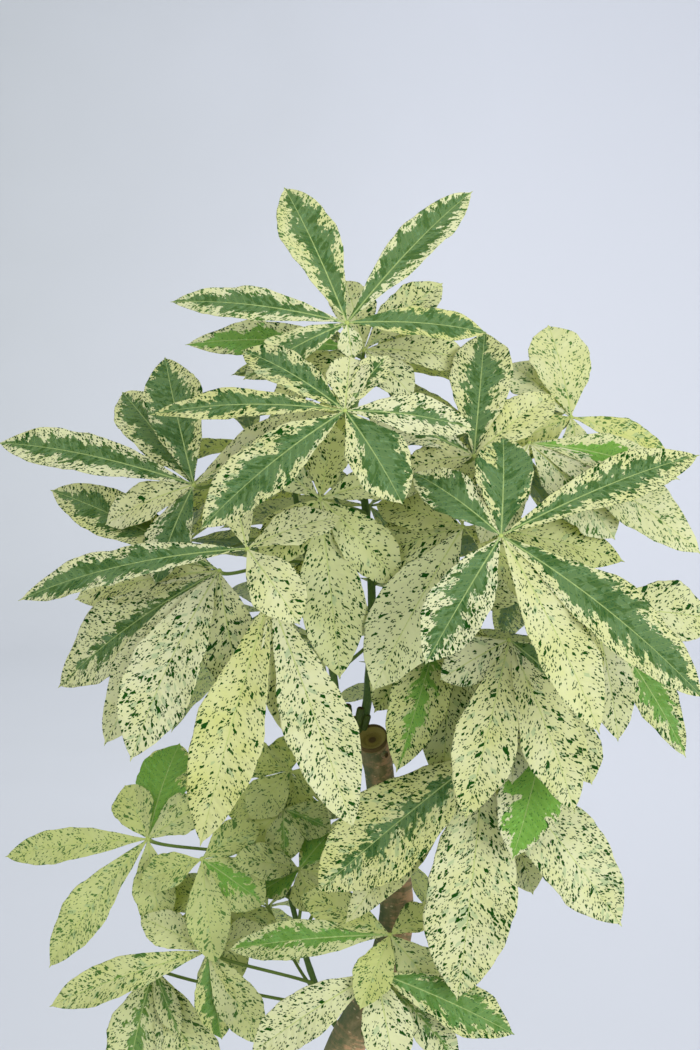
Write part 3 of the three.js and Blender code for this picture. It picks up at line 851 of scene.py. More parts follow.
@dataclass(frozen=True)
class Shoot:
    """A green shoot.

    Attributes:
        name: its node.
        route: across, up and forward as seen, from the trunk to the tip.
        radii: its radius at each end, in millimetres.
        scars: how many leaf scars it has.
        rows, around: rings along it, and points in a ring.
    """

    name: str
    route: tuple[Triple, ...]
    radii: tuple[float, float]
    scars: int = 7
    rows: int = 90
    around: int = 20

    def course(self) -> Course:
        """Its middle line."""
        return Course(np.array([VIEW.seen(place) for place in self.route]))

    def build(self, material: Material) -> Piece:
        """A round tube that tapers, swells at the leaf scars and ends in a pointed bud.

        The radius runs straight from foot to tip, times one plus a small bulge at each scar, and
        falls to a point over the last stretch.

        Args:
            material: its finish.

        Returns:
            The piece.
        """
        share = np.linspace(0, 1, self.rows)
        bulge = np.exp(-(((share * self.scars) % 1 - 0.5) / 0.12) ** 2)
        bud = np.sqrt(np.clip((1.004 - share) / 0.03, 0.02, 1))
        radius = tapered(self.radii, share) * (1 + 0.1 * bulge) * bud
        points, mark = tube(self.course(), share, radius, self.around)
        skin = Skin()
        skin.add_grid(points, {"stem": mark})
        return skin.build(f"{self.name}_skin", [material], Slot.STEM, self.name)


SHOOTS = {
    shoot.name: shoot
    for shoot in (
        Shoot("main_shoot", (
            (38, 826, -12), (34, 858, -18), (38, 889, -9), (40, 920, 2), (42, 965, 8), (41, 1010, 8),
            (38, 1055, 6), (30, 1120, 4), (22, 1190, 6), (18, 1228, 12),
        ), (5.2, 2.6)),
        Shoot("left_shoot", (
            (36, 832, -10), (19, 860, -13), (8, 878, -8), (4, 905, 4), (0, 930, 12),
            (-10, 970, 14), (-24, 1030, 10), (-34, 1085, 4), (-38, 1130, 0),
        ), (4.6, 2.4)),
        Shoot("lower_shoot", (
            (20, 545, -4), (2, 566, -34), (-18, 610, -60),
            (-34, 665, -78), (-46, 720, -92), (-54, 770, -104),
        ), (4, 2.2)),
        Shoot("low_twig", ((20, 552, 2), (52, 556, 34), (78, 580, 42), (84, 610, 40)), (3.4, 2.4)),
    )
}


def add_pruned(skin: Skin, bark: Array, mark: Array, finish: Wood, lip: float, dish: float) -> None:
    """Adds a tube of bark that ends in a cut face: callus rolled over the edge, then a dish of wood.

    Each ring of the face is the tube's last ring drawn in towards its middle. Its height is one hump
    of a sine near the edge, and falls to the dish's depth further in. The face's mark is the distance
    from the pith in millimetres, and twice the sine of the angle.

    Args:
        skin: the mesh so far.
        bark: the tube's rings.
        mark: their mark.
        finish: the bark's finish.
        lip: how high the callus stands, in millimetres.
        dish: how deep the dish is, in millimetres.
    """
    rim = bark[-1]
    middle = rim.mean(0)
    quarter = len(rim) // 4
    normal = unit(np.cross(rim[quarter] - rim[0], rim[2 * quarter] - rim[0]))
    normal = normal * np.sign(normal[2])
    inward = np.linspace(0.03, 0.97, 24)[:, None, None]
    height = lip * np.sin(np.pi * np.clip(inward / 0.36, 0, 1)) - dish * smooth(0.24, 0.6, inward)
    face = rim + (middle - rim) * inward + height * MM * normal
    distance = np.linalg.norm(face - middle, axis=-1) / MM
    face_mark = triples(distance, 2 * np.sin(np.linspace(0, 2 * np.pi, len(rim))), 0)
    bands = np.repeat([finish, Wood.CUT], [len(bark) - 1, len(face)])
    skin.add_grid(np.concatenate([bark, face]), {"stem": np.concatenate([mark, face_mark])}, bands)


@dataclass(frozen=True)
class Stub:
    """A woody stub.

    Attributes:
        foot, tip: its ends as seen, the foot inside the wood.
        radii: its radius at foot and tip, in millimetres.
        finish: the finish of its bark.
        lip, dish: how high the callus on its end stands, and how deep the wood inside is.
        rows, around: rings along it, and points in a ring.
    """

    foot: Triple
    tip: Triple
    radii: tuple[float, float]
    finish: Wood = Wood.YOUNG
    lip: float = 0.3
    dish: float = 0.9
    rows: int = 18
    around: int = 20

    def add_to(self, skin: Skin) -> None:
        """Adds the stub to a mesh: a tube with low rings, swollen towards the tip, with a cut face.

        Args:
            skin: the mesh.
        """
        share = np.linspace(0, 1, self.rows)
        swell = 1 + 0.05 * np.sin(share * 19) + 0.12 * np.exp(-(((share - 0.92) / 0.08) ** 2))
        radius = tapered(self.radii, share) * swell * (1 - 0.16 * smooth(0.93, 1.0, share))
        line = Course(np.array([VIEW.seen(self.foot), VIEW.seen(self.tip)]))
        add_pruned(skin, *tube(line, share, radius, self.around), self.finish, self.lip, self.dish)


@dataclass(frozen=True)
class Trunk:
    """The woody trunk with its buried foot, sloped cut, collar and stubs.

    Attributes:
        route: across, up and forward as seen, and the radius, in millimetres.
        stubs: the collar from which the shoots grew, the stubs on it, and the knot below the cut.
        cut_slope: the cut's slope in degrees.
        lip, dish: how high the callus round the cut stands, and how deep the wood inside is.
        scars: how many old leaf scars there are.
        wave: how high each wave of its surface is, as a share of the radius.
        rows, around: rings along it, and points in a ring.
    """

    route: tuple[tuple[float, float, float, float], ...] = (
        (-16, 130, 0, 18), (-16, 200, 0, 29), (-18, 240, 0, 29), (-20, 320, 0, 24), (-14, 430, 0, 21),
        (14, 535, 0, 20), (48, 600, 0, 19), (66, 665, 0, 17.5), (62, 730, 0, 16), (52, 790, 0, 14.4),
        (49, 816, 0, 14.8), (44.5, 836, 0, 16.4),
    )
    stubs: tuple[Stub, ...] = (
        Stub((40, 823, -10), (19, 866, -15), (7, 9)),
        Stub((19, 859, -12), (17, 880, -6), (5.4, 4.2)),
        Stub((27, 855, -14), (31, 877, -9), (5, 3.8)),
        Stub((31, 848, -14), (38, 870, -12), (4.4, 3.4)),
        Stub((48, 832, 6), (56.5, 830, 15.5), (5, 3.2), Wood.BARK),
    )
    cut_slope: float = 34
    lip: float = 1.7
    dish: float = 2
    scars: int = 19
    wave: float = 0.018
    rows: int = 300
    around: int = 56

    def stem(self, rng: Rng) -> tuple[Array, Array]:
        """The trunk's bark.

        The radius follows the route, times one plus slow waves round and along it, with low rings at
        the old leaf scars. The top rings are sheared to the slope of the cut.

        Args:
            rng: draws the waves.

        Returns:
            The rings and their mark.
        """
        course = Course(np.array([VIEW.seen(stop[:3]) for stop in self.route]))
        stops = course.lengths[:: course.samples] / course.lengths[-1]
        share = np.linspace(0, 1, self.rows)[:, None]
        radius = np.interp(share, stops, [stop[3] for stop in self.route]) * MM
        angles = angles_round(self.around)
        waves = sum(
            self.wave * np.sin(k * angles + share * rng.uniform(6, 34) + rng.uniform(0, 6))
            for k in (1, 2, 3, 5)
        )
        between = (share * self.scars + 0.15 * np.sin(share * 31)) % 1
        scars = 0.02 * np.exp(-(((between - 0.5) / 0.1) ** 2))
        swell = 1 + (waves + scars) * smooth(1.0, 0.96, share)
        points, mark = tube(course, share[:, 0], radius * swell, self.around)
        shear = math.tan(math.radians(self.cut_slope)) * smooth(0.955, 1.0, share)
        lift = shear * radius * (1 - np.cos(angles))
        return points + lift[..., None] * course.heading(share[:, 0])[:, None], mark

    def build(self, materials: Sequence[Material]) -> Piece:
        """Builds the stem with its stubs as one piece.

        Args:
            materials: the finishes, in the order of Wood.

        Returns:
            The trunk.
        """
        skin = Skin()
        add_pruned(skin, *self.stem(np.random.default_rng(Seed.TRUNK)), Wood.BARK, self.lip, self.dish)
        for stub in self.stubs:
            stub.add_to(skin)
        return skin.build("trunk_skin", materials, Slot.BARK, "trunk")


# Leaves


@dataclass(frozen=True)
class Leaflet:
    """One leaflet, in millimetres. A back leaf's has no place of its own.

    Attributes:
        across, up: where its tip is seen.
        width: its greatest width.
        green: how much of it is green.
        nearer: how far its tip is brought forward.
        blotched: how much its spots gather in blotches, or None to draw it at random.
    """

    across: float
    up: float
    width: float
    green: float = 0.04
    nearer: float = 0
    blotched: float | None = None


Blade = tuple[Leaflet, Callable[[float], Array]]


@dataclass(frozen=True)
class LeafForm:
    """The sizes that every leaf shares with its solid, and finer ones, in millimetres.

    Attributes:
        arch: how far a blade's middle rises, as a share of its length.
        fold, wave, ripple: its edges' fold and their long and short waves, by the half width.
        droop: how far tips hang below the leaf's plane, as a share of the length.
        shift_step, shift_tries: how a blade was moved to find room, and how often.
        same: how near a corner of the solid lies to a tip that it belongs to.
        phase: how far the waves move on from one blade to the next.
        thickness, stalk: the blade's thickness, and what it gains at the hub.
        rib: the midrib's height and width below.
        ragged: how high and how close the small waves of its outline are.
        rows, across: points along a blade, and shares of its half width where points lie.
        drip_start, drip_width: where the drawn tip takes over, and how wide, as shares.
        petiole: the petiole's radius along its middle, and at its ends.
        petiole_slant: how much of the shoot's heading the petiole takes with it.
        petiole_pull: how far its curve keeps to each end's direction, as shares of its reach.
        hub_radius, hub_height: the small hub's radius, and its height as a share of that.
    """

    arch: float = 0.07
    fold: float = 0.16
    wave: float = 0.1
    droop: float = 0.22
    shift_step: float = 8
    shift_tries: int = 40
    same: float = 0.4
    phase: float = 2.4
    thickness: float = 0.5
    stalk: float = 1.5
    rib: float = 0.9
    ripple: float = 0.075
    ragged: tuple[tuple[float, float], ...] = ((0.035, 15), (0.02, 37), (0.01, 83))
    rows: int = 38
    across: tuple[float, ...] = (0, 0.05, 0.14, 0.3, 0.48, 0.66, 0.83, 0.94, 1)
    drip_start: float = 0.98
    drip_width: float = 0.07
    petiole: tuple[float, float] = (1.8, 2.9)
    petiole_slant: float = 0.7
    petiole_pull: tuple[float, float] = (0.3, 0.28)
    hub_radius: float = 2.4
    hub_height: float = 0.75


FORM = LeafForm()


def outline(share: Array) -> Array:
    """Half a leaflet's width at a share of its length: a sine bulge, then a thin tip to the end."""
    body = np.sin(np.pi * np.minimum(share / FORM.drip_start, 1) ** 1.35) ** 0.8
    return np.maximum(body, FORM.drip_width * smooth(1.0, 0.9, share) * smooth(0.5, 0.6, share))


@dataclass
class Leaf:
    """A palmate leaf: a petiole, a hub and the leaflets that spread from it.

    Attributes:
        name: its node.
        shoot, at: the shoot that carries it, and how far along as a share.
        hub: the hub's place in metres.
        normal: the way that the upper side faces.
        blades: its leaflets, each with its tip for a shift in millimetres.
        number: its place in the order of the leaves, which seeds its small differences.
        age: how yellow, partly as painted shade on leaves low and inside the crown, how fresh a green and
            how faded it is.
    """

    name: str
    shoot: str
    at: float
    hub: Array
    normal: Array
    blades: list[Blade]
    number: int
    age: Triple = (0, 0, 0)

    def found_tips(self) -> list[tuple[int, Leaflet, Array]]:
        """Finds where the solid has each blade's tip.

        A blade was moved in even steps until it had room, so the tip is the first of those places
        that is a corner of the solid. A blade with no such place found no room and was left out.

        Returns:
            Each blade's number and leaflet, and its tip.
        """
        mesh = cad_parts[self.name].data
        corners = np.zeros(len(mesh.vertices) * 3, np.float32)
        mesh.vertices.foreach_get("co", corners)
        corners = corners.reshape(-1, 3)
        found = []
        for index, (leaflet, tip_at) in enumerate(self.blades):
            for attempt in range(FORM.shift_tries):
                tip = tip_at(FORM.shift_step * math.ceil(attempt / 2) * (-1 if attempt % 2 else 1))
                if np.min(np.linalg.norm(corners - tip, axis=1)) < FORM.same * MM:
                    found.append((index, leaflet, tip))
                    break
        return found

    def add_blade(self, skin: Skin, index: int, leaflet: Leaflet, tip: Array, rng: Rng) -> None:
        """Adds one leaflet as a thin closed skin.

        The midrib is a parabola from hub to tip whose middle rises along the upper side. Across it
        the surface rises as a soft V, plus a long wave that lifts one edge as it lowers the other, plus
        short ripples that grow with the square of the distance out. The underside is the same surface
        set down by the thickness, with a rib under the midrib. Near the hub both close on a stalk.

        Args:
            skin: the leaf's mesh so far.
            index: the leaflet's number, which sets the phase of its waves.
            leaflet: the leaflet.
            tip: its tip in metres.
            rng: draws its small differences.
        """
        chord = tip - self.hub
        length = float(np.linalg.norm(chord))
        upper = square_to(chord, self.normal)
        side = unit(np.cross(chord, upper))
        bend = (self.hub + tip) / 2 + upper * 2 * FORM.arch * length
        t = np.linspace(0, 1, FORM.rows)[:, None] ** 0.93
        middle = (1 - t) ** 2 * self.hub + 2 * t * (1 - t) * bend + t**2 * tip
        tangent = unit(2 * (1 - t) * (bend - self.hub) + 2 * t * (tip - bend))
        lift = unit(np.cross(side, tangent))[:, None]
        v = np.array(FORM.across)
        v = np.concatenate([-v[:0:-1], v])
        under = np.repeat([0, 1], len(v))[None, :]
        v = np.concatenate([v, v[::-1]])[None, :]

        full = leaflet.width * MM / 2
        rib = FORM.rib * MM
        ragged = sum(a * np.sin(t * f + rng.uniform(0, 6) + (v > 0) * 2) for a, f in FORM.ragged)
        half = np.maximum(outline(t) * full * (1 + ragged), rib * smooth(1.0, 0.985, t))
        turns = rng.uniform(2.4, 3.6)
        one, two = rng.uniform(0, 6, 2)
        ripples = np.where(v > 0, np.sin(t * turns * 6.28 + one), np.sin(t * turns * 5.7 + two))
        fine = np.where(v > 0, np.sin(t * turns * 15.1 + two), np.sin(t * turns * 16.7 + one))
        waves = FORM.wave * v * np.sin(9 * t + FORM.phase * index)
        relief = FORM.fold * (np.sqrt(v**2 + 0.01) - 0.1) + waves
        relief = relief + FORM.ripple * v**2 * (ripples + 0.35 * fine)
        height = relief * np.minimum(outline(t), smooth(0.02, 0.2, t)) * full
        thick = (FORM.thickness + FORM.stalk * np.exp(-((t / 0.06) ** 2))) * MM * (1 - 0.45 * v**4)
        keel = rib * np.exp(-((v * half / rib) ** 2)) * (1 - t) ** 0.5
        rise = height + thick / 2 - under * (thick + keel)
        grid = middle[:, None] + side * (half * v)[..., None] + lift * rise[..., None]

        seed, tone, drawn = rng.uniform(0, 90), rng.normal(0.3, 0.22), rng.uniform(0, 1) ** 2
        blotched = drawn if leaflet.blotched is None else leaflet.blotched
        marks = {
            "blade": triples(half * v / MM, t * length / MM, seed),
            "place": triples(v, t, leaflet.green),
            "look": triples(np.clip(tone, 0, 1), under + 0 * t, blotched),
            "age": np.broadcast_to(self.age, grid.shape),
            "stem": np.zeros(grid.shape),
        }
        skin.add_grid(grid, marks)

    def petiole(self) -> Course:
        """The petiole's line: a cubic curve out of the shoot at a slant and up into the hub.

        Returns:
            The line.
        """
        shoot = SHOOTS[self.shoot].course()
        foot = shoot.at(self.at)[0]
        away = self.hub - foot
        reach = float(np.linalg.norm(away))
        ahead = shoot.heading(self.at)[0]
        slant = unit(square_to(ahead, away) + ahead * FORM.petiole_slant)
        first = foot + slant * FORM.petiole_pull[0] * reach
        second = self.hub - self.normal * FORM.petiole_pull[1] * reach
        t = np.linspace(0, 1, 26)[:, None]
        line = (1 - t) ** 3 * foot + 3 * t * (1 - t) ** 2 * first + 3 * t**2 * (1 - t) * second
        return Course(line + t**3 * self.hub, samples=2)

    def add_petiole(self, skin: Skin) -> None:
        """Adds the petiole, swollen at both ends, and the hub as a small flattened ball.

        Args:
            skin: the leaf's mesh so far.
        """
        share = np.linspace(0, 1, 40)
        radius = tapered(FORM.petiole, np.abs(2 * share - 1) ** 9)
        pale = smooth(0.9, 1.0, share)[:, None] * 0.7
        points, mark = tube(self.petiole(), share, radius, 12, pale)
        right = square_to(self.normal, np.array([1.0, 0.2, 0]))
        sides = np.array([right, np.cross(self.normal, right), self.normal])
        turn = np.linspace(0.08, np.pi - 0.08, 10)[:, None]
        ball = level_rings(np.sin(turn), -FORM.hub_height * np.cos(turn), 16) @ sides
        ball = self.hub + ball * FORM.hub_radius * MM
        for grid, stem in ((points, mark), (ball, np.zeros(ball.shape) + (0, 0, 1))):
            blank = {name: np.zeros(grid.shape) for name in ("blade", "place", "look", "age")}
            skin.add_grid(grid, {**blank, "stem": stem}, 1)

    def build(self, materials: Sequence[Material]) -> Piece:
        """Makes the leaf as one piece in place of its solid.

        Args:
            materials: the finishes of the blades and of the petiole.

        Returns:
            The piece.
        """
        rng = np.random.default_rng(Seed.LEAVES + self.number)
        skin = Skin()
        self.add_petiole(skin)
        tips = self.found_tips()
        for found in tips:
            self.add_blade(skin, *found, rng)
        LOG.info("%s: %d of %d leaflets", self.name, len(tips), len(self.blades))
        return skin.build(f"{self.name}_skin", materials, Slot.LEAF, self.name)


@dataclass(frozen=True)
class FrontLeaf:
    """A leaf that the viewer sees, in millimetres as seen.

    Attributes:
        name: its node.
        shoot, at: the shoot that carries it, and how far along as a share.
        hub: across, up and forward of its hub.
        facing: the way that its upper side faces: right, forward, up.
        leaflets: what its leaflets are made from.
        age: how yellow, partly as painted shade on leaves low and inside the crown, how fresh a green and
            how faded it is.
    """

    name: str
    shoot: str
    at: float
    hub: Triple
    facing: Triple
    leaflets: tuple[tuple, ...]
    age: Triple = (0, 0, 0)

    def leaf(self, number: int) -> Leaf:
        """The leaf ready to build: each tip lies near the leaf's plane, and droops behind it.

        Args:
            number: its place in the order of the leaves.

        Returns:
            The leaf.
        """
        right, forward, up = self.facing
        blades = []
        for one in (Leaflet(*values) for values in self.leaflets):
            across, rise = one.across - self.hub[0], one.up - self.hub[1]
            in_plane = -(right * across + up * rise) / forward
            depth = self.hub[2] + 0.75 * in_plane - FORM.droop * math.hypot(across, rise) + one.nearer
            tip_at = lambda shift, one=one, depth=depth: VIEW.seen((one.across, one.up, depth + shift))
            blades.append((one, tip_at))
        normal = unit(np.array([right, -forward, up]))
        return Leaf(self.name, self.shoot, self.at, VIEW.seen(self.hub), normal, blades, number, self.age)


@dataclass(frozen=True)
class BackLeaf:
    """A leaf at the back, whose leaflets spread by a rule.

    Attributes:
        name: its node.
        shoot, at: the shoot that carries it, and how far along as a share.
        hub: its hub's place in millimetres.
        reach: how far its leaflets reach, in millimetres.
        leaflets: how many it has.
    """

    name: str
    shoot: str
    at: float
    hub: Triple
    reach: float
    leaflets: int = 6

    def leaf(self, number: int, index: int) -> Leaf:
        """The leaf ready to build: leaflets all round the hub, longest away from the shoot, drooping.

        Args:
            number: its place in the order of the leaves.
            index: its place among those at the back.

        Returns:
            The leaf.
        """
        hub = np.array(self.hub, float) * MM
        away = hub - SHOOTS[self.shoot].course().at(self.at)[0]
        away = unit(away * (1, 1, 0))
        normal = unit(away + (0, 0, 1))
        outward = square_to(normal, away)
        greens = np.random.default_rng(Seed.BACK_LEAVES + index).uniform(0, 1, self.leaflets)
        blades = []
        for place in range(self.leaflets):
            vary = math.sin(2.4 * place + 1.7 * index)
            angle = 2 * math.pi * (place + 0.5 + 0.15 * vary) / self.leaflets
            length = self.reach * (0.82 + 0.2 * math.cos(angle) + 0.08 * vary) * MM
            tip = hub + turned(outward, normal, angle) * length - normal * FORM.droop * length
            tip_at = lambda shift, tip=tip: tip + normal * shift * MM
            green = 0.3 + 0.35 * float(greens[place - 1]) if greens[place] > 0.62 else 0.04
            blades.append((Leaflet(0, 0, 0.27 * length / MM, green), tip_at))
        return Leaf(self.name, self.shoot, self.at, hub, normal, blades, number)


# A front leaf's last triple, where given, is how yellow, how fresh a green and how faded it is; the yellow
# on leaves low and inside the crown is partly painted shade.
FRONT_LEAVES = (
    FrontLeaf("top_leaf", "main_shoot", 0.97, (17, 1262, 60), (0, 0.85, 0.55), (
        (-46, 1398, 55, 0.55), (143, 1394, 44, 0.6), (-160, 1283, 38, 0.5), (-87, 1205, 40, 0.5),
        (157, 1252, 36, 0.6), (22, 1226, 24, 0.05),
    ), (0, 0, 0.4)),
    FrontLeaf("crown_leaf", "main_shoot", 0.9, (15, 1174, 130), (0, 0.75, 0.66), (
        (-89, 1235, 44, 0.5), (20, 1229, 42, 0.08), (59, 1230, 30, 0.25), (145, 1155, 46, 0.3),
        (-180, 1170, 34, 0.5), (-130, 1055, 62, 0.6), (73, 1080, 60, 0.62),
    )),
    FrontLeaf("right_front_leaf", "main_shoot", 0.37, (171, 1049, 150), (0.1, 0.8, 0.6), (
        (173, 1149, 57, 0.75), (82, 1113, 48, 0.7), (370, 1130, 48, 0.45), (375, 885, 65, 0.62),
        (270, 850, 58, 0.03), (95, 920, 58, 0.5),
    )),
    FrontLeaf("left_front_leaf", "left_shoot", 0.8, (-83, 1036, 120), (-0.2, 0.7, 0.7), (
        (-312, 984, 46, 0.62), (-30, 960, 52, 0.03), (-100, 1120, 44, 0.1), (12, 1068, 44, 0.05),
    )),
    FrontLeaf("long_leaf", "left_shoot", 0.5, (-60, 988, 100), (0, 0.85, 0.5), (
        (24, 755, 66, 0.04), (-130, 738, 66, 0.06), (-38, 845, 44), (4, 1010, 40),
    )),
    FrontLeaf("right_low_leaf", "main_shoot", 0.25, (179, 945, 110), (0.1, 0.85, 0.5), (
        (135, 765, 60), (182, 800, 48, 0.04, -36), (245, 772, 60), (235, 895, 44, 0.6), (110, 905, 46),
    )),
    FrontLeaf("right_green_leaf", "main_shoot", 0.17, (222, 890, 70), (0.2, 0.8, 0.5), (
        (182, 725, 66, 0.66, 40), (120, 800, 50), (262, 800, 46), (300, 900, 44),
    ), (0, 1, 0)),
    FrontLeaf("hanging_leaf", "main_shoot", 0.155, (155, 832, 40), (0.05, 0.85, 0.5), (
        (-14, 692, 88, 0.26, 20, 0.7), (14, 660, 44, 0.08, -20), (127, 583, 90, 0.05),
        (203, 690, 60, 0.15, -40), (292, 658, 78, 0.04, 10, 0.8), (230, 850, 46),
    )),
    FrontLeaf("middle_leaf", "main_shoot", 0.62, (-10, 1086, 75), (0, 0.85, 0.5), (
        (10, 905, 62), (5, 1160, 46), (110, 1115, 50), (-68, 1020, 50), (70, 1000, 52), (-90, 1140, 46),
    ), (0.3, 0.2, 0)),
    FrontLeaf("right_inner_leaf", "left_shoot", 0.3, (133, 1058, 75), (0, 0.8, 0.6), (
        (28, 1020, 52, 0.08), (42, 893, 74, 0.05), (45, 1080, 46), (110, 1150, 50), (295, 1023, 46),
        (250, 960, 50),
    ), (0.25, 0.2, 0)),
    FrontLeaf("right_shade_leaf", "main_shoot", 0.28, (118, 985, 25), (0.1, 0.8, 0.5), (
        (66, 812, 58, 0.32), (112, 792, 54, 0.1), (160, 880, 50), (200, 1000, 46), (62, 920, 50, 0.04, -10),
        (44, 872, 58, 0.16),
    ), (0.25, 0.9, 0)),
    FrontLeaf("right_upper_leaf", "main_shoot", 0.72, (144, 1129, 55), (0, 0.8, 0.6), (
        (155, 1254, 62, 0.55), (35, 1173, 46, 0.3), (75, 1115, 42), (225, 1190, 46),
    )),
    FrontLeaf("right_stripe_leaf", "main_shoot", 0.56, (199, 1142, 35), (0.1, 0.75, 0.65), (
        (350, 1105, 46, 0.4), (285, 1045, 76), (372, 1030, 62), (150, 1040, 50),
    ), (0, 0.9, 0.35)),
    FrontLeaf("curled_leaf", "main_shoot", 0.66, (241, 1168, -25), (0.1, 0.75, 0.65), (
        (218, 1260, 66, 0.1, 20), (178, 1222, 54), (160, 1125, 60), (342, 1125, 36), (250, 1105, 36),
    ), (0.05, 0, 0.45)),
    FrontLeaf("right_back_leaf", "main_shoot", 0.45, (262, 975, 30), (0.2, 0.8, 0.5), (
        (356, 827, 46, 0.45), (288, 843, 48), (385, 965, 64), (235, 880, 46),
    ), (0.1, 0.6, 0)),
    FrontLeaf("top_back_leaf", "main_shoot", 0.93, (34, 1235, 0), (0, 0.8, 0.6), (
        (15, 1305, 46), (113, 1302, 46), (145, 1223, 42), (83, 1188, 42), (-145, 1240, 42, 0.6),
        (-60, 1180, 44),
    ), (0.1, 0.7, 0)),
    FrontLeaf("left_leaf", "left_shoot", 0.95, (-136, 1100, 20), (-0.15, 0.8, 0.6), (
        (-333, 1142, 48, 0.5), (-165, 1228, 60, 0.68), (-208, 1193, 56, 0.6, -40), (-18, 1157, 44, 0.6),
        (-175, 1000, 46, 0.72), (-225, 1060, 46), (5, 1172, 46),
    )),
    FrontLeaf("left_low_leaf", "left_shoot", 0.66, (-111, 1014, 60), (-0.2, 0.8, 0.55), (
        (-280, 1095, 52, 0.55), (-272, 897, 72, 0.3, -24), (-226, 839, 64), (-200, 823, 76, 0.06, 30, 1),
        (-87, 885, 60), (-255, 985, 46, 0.08),
    )),
    FrontLeaf("low_far_leaf", "lower_shoot", 0.8, (-182, 746, -90), (-0.2, 0.8, 0.55), (
        (-325, 728, 40), (-281, 617, 50), (-167, 650, 46, 0.1), (-205, 800, 46), (-150, 842, 62, 0.85, -20),
        (-118, 785, 46, 0.1),
    ), (0.5, 0.8, 0.45)),
    FrontLeaf("low_bright_leaf", "lower_shoot", 0.66, (-128, 726, -50), (-0.1, 0.8, 0.6), (
        (-65, 680, 60, 0.3), (-115, 620, 46), (-190, 700, 42), (-70, 760, 42),
    ), (0.6, 0.9, 0.5)),
    FrontLeaf("low_back_leaf", "lower_shoot", 0.97, (-40, 814, -120), (0, 0.8, 0.6), (
        (-45, 850, 42), (-80, 765, 46), (-18, 727, 48), (22, 790, 46), (-105, 830, 46),
    ), (0.6, 0.6, 0.5)),
    FrontLeaf("low_small_leaf", "lower_shoot", 0.92, (-47, 776, -95), (0, 0.8, 0.6), (
        (-85, 735, 40), (-45, 722, 42, 0.2), (2, 755, 44, 0.2), (-105, 780, 44),
    ), (0.6, 0.6, 0.5)),
    FrontLeaf("low_dark_leaf", "lower_shoot", 0.55, (-31, 716, -75), (0, 0.8, 0.6), (
        (-98, 725, 42, 0.1), (-73, 690, 38, 0.8), (0, 752, 40, 0.8), (-14, 672, 42, 0.1), (24, 705, 42),
    ), (0.5, 0.8, 0.4)),
    FrontLeaf("low_left_leaf", "lower_shoot", 0.3, (-122, 634, -20), (-0.1, 0.8, 0.6), (
        (-281, 578, 44, 0.15), (-108, 545, 42, 0.5), (-68, 540, 46), (-60, 655, 40), (-190, 668, 40),
    ), (0.3, 0.4, 0.3)),
    FrontLeaf("low_middle_leaf", "lower_shoot", 0.42, (-102, 682, -65), (0, 0.8, 0.6), (
        (-150, 640, 44), (-55, 640, 44), (-100, 596, 44), (-170, 690, 40),
    ), (0.6, 0.8, 0.5)),
    FrontLeaf("low_edge_leaf", "lower_shoot", 0.2, (-176, 618, -70), (-0.1, 0.8, 0.5), (
        (-204, 495, 64, 0.25), (-150, 548, 26, 0.3, 24), (-115, 478, 62, 0.15),
    ), (0.2, 0.3, 0.2)),
    FrontLeaf("low_right_leaf", "low_twig", 0.95, (60, 650, 48), (0, 0.8, 0.6), (
        (104, 678, 32), (112, 585, 46), (-102, 635, 42, 0.4), (-30, 690, 42), (30, 575, 40),
    ), (0.4, 0.6, 0.3)),
    FrontLeaf("low_front_leaf", "low_twig", 0.6, (46, 613, 75), (0, 0.8, 0.6), (
        (-80, 530, 52, 0.08), (65, 512, 52), (185, 550, 52, 0.62, 0, 1), (130, 520, 40, 0.2, -36, 1),
    ), (0.1, 0.3, 0)),
)

BACK_LEAVES = (
    BackLeaf("back_top_leaf", "main_shoot", 0.86, (40, 105, 1215), 165),
    BackLeaf("back_high_right_leaf", "main_shoot", 0.78, (150, 125, 1150), 185),
    BackLeaf("back_high_left_leaf", "left_shoot", 0.9, (-80, 120, 1130), 180),
    BackLeaf("back_left_leaf", "left_shoot", 0.74, (-150, 95, 1030), 175),
    BackLeaf("back_middle_leaf", "main_shoot", 0.5, (40, 150, 1060), 190),
    BackLeaf("back_right_leaf", "main_shoot", 0.4, (195, 105, 1030), 190),
    BackLeaf("back_low_right_leaf", "main_shoot", 0.22, (135, 125, 930), 190),
    BackLeaf("back_low_left_leaf", "left_shoot", 0.36, (-70, 125, 950), 190),
    BackLeaf("back_hanging_leaf", "main_shoot", 0.14, (110, 130, 860), 150),
    BackLeaf("back_trunk_leaf", "lower_shoot", 0.5, (20, 150, 720), 150),
    BackLeaf("back_foot_leaf", "lower_shoot", 0.26, (-70, 130, 620), 150),
)


# Pot and soil


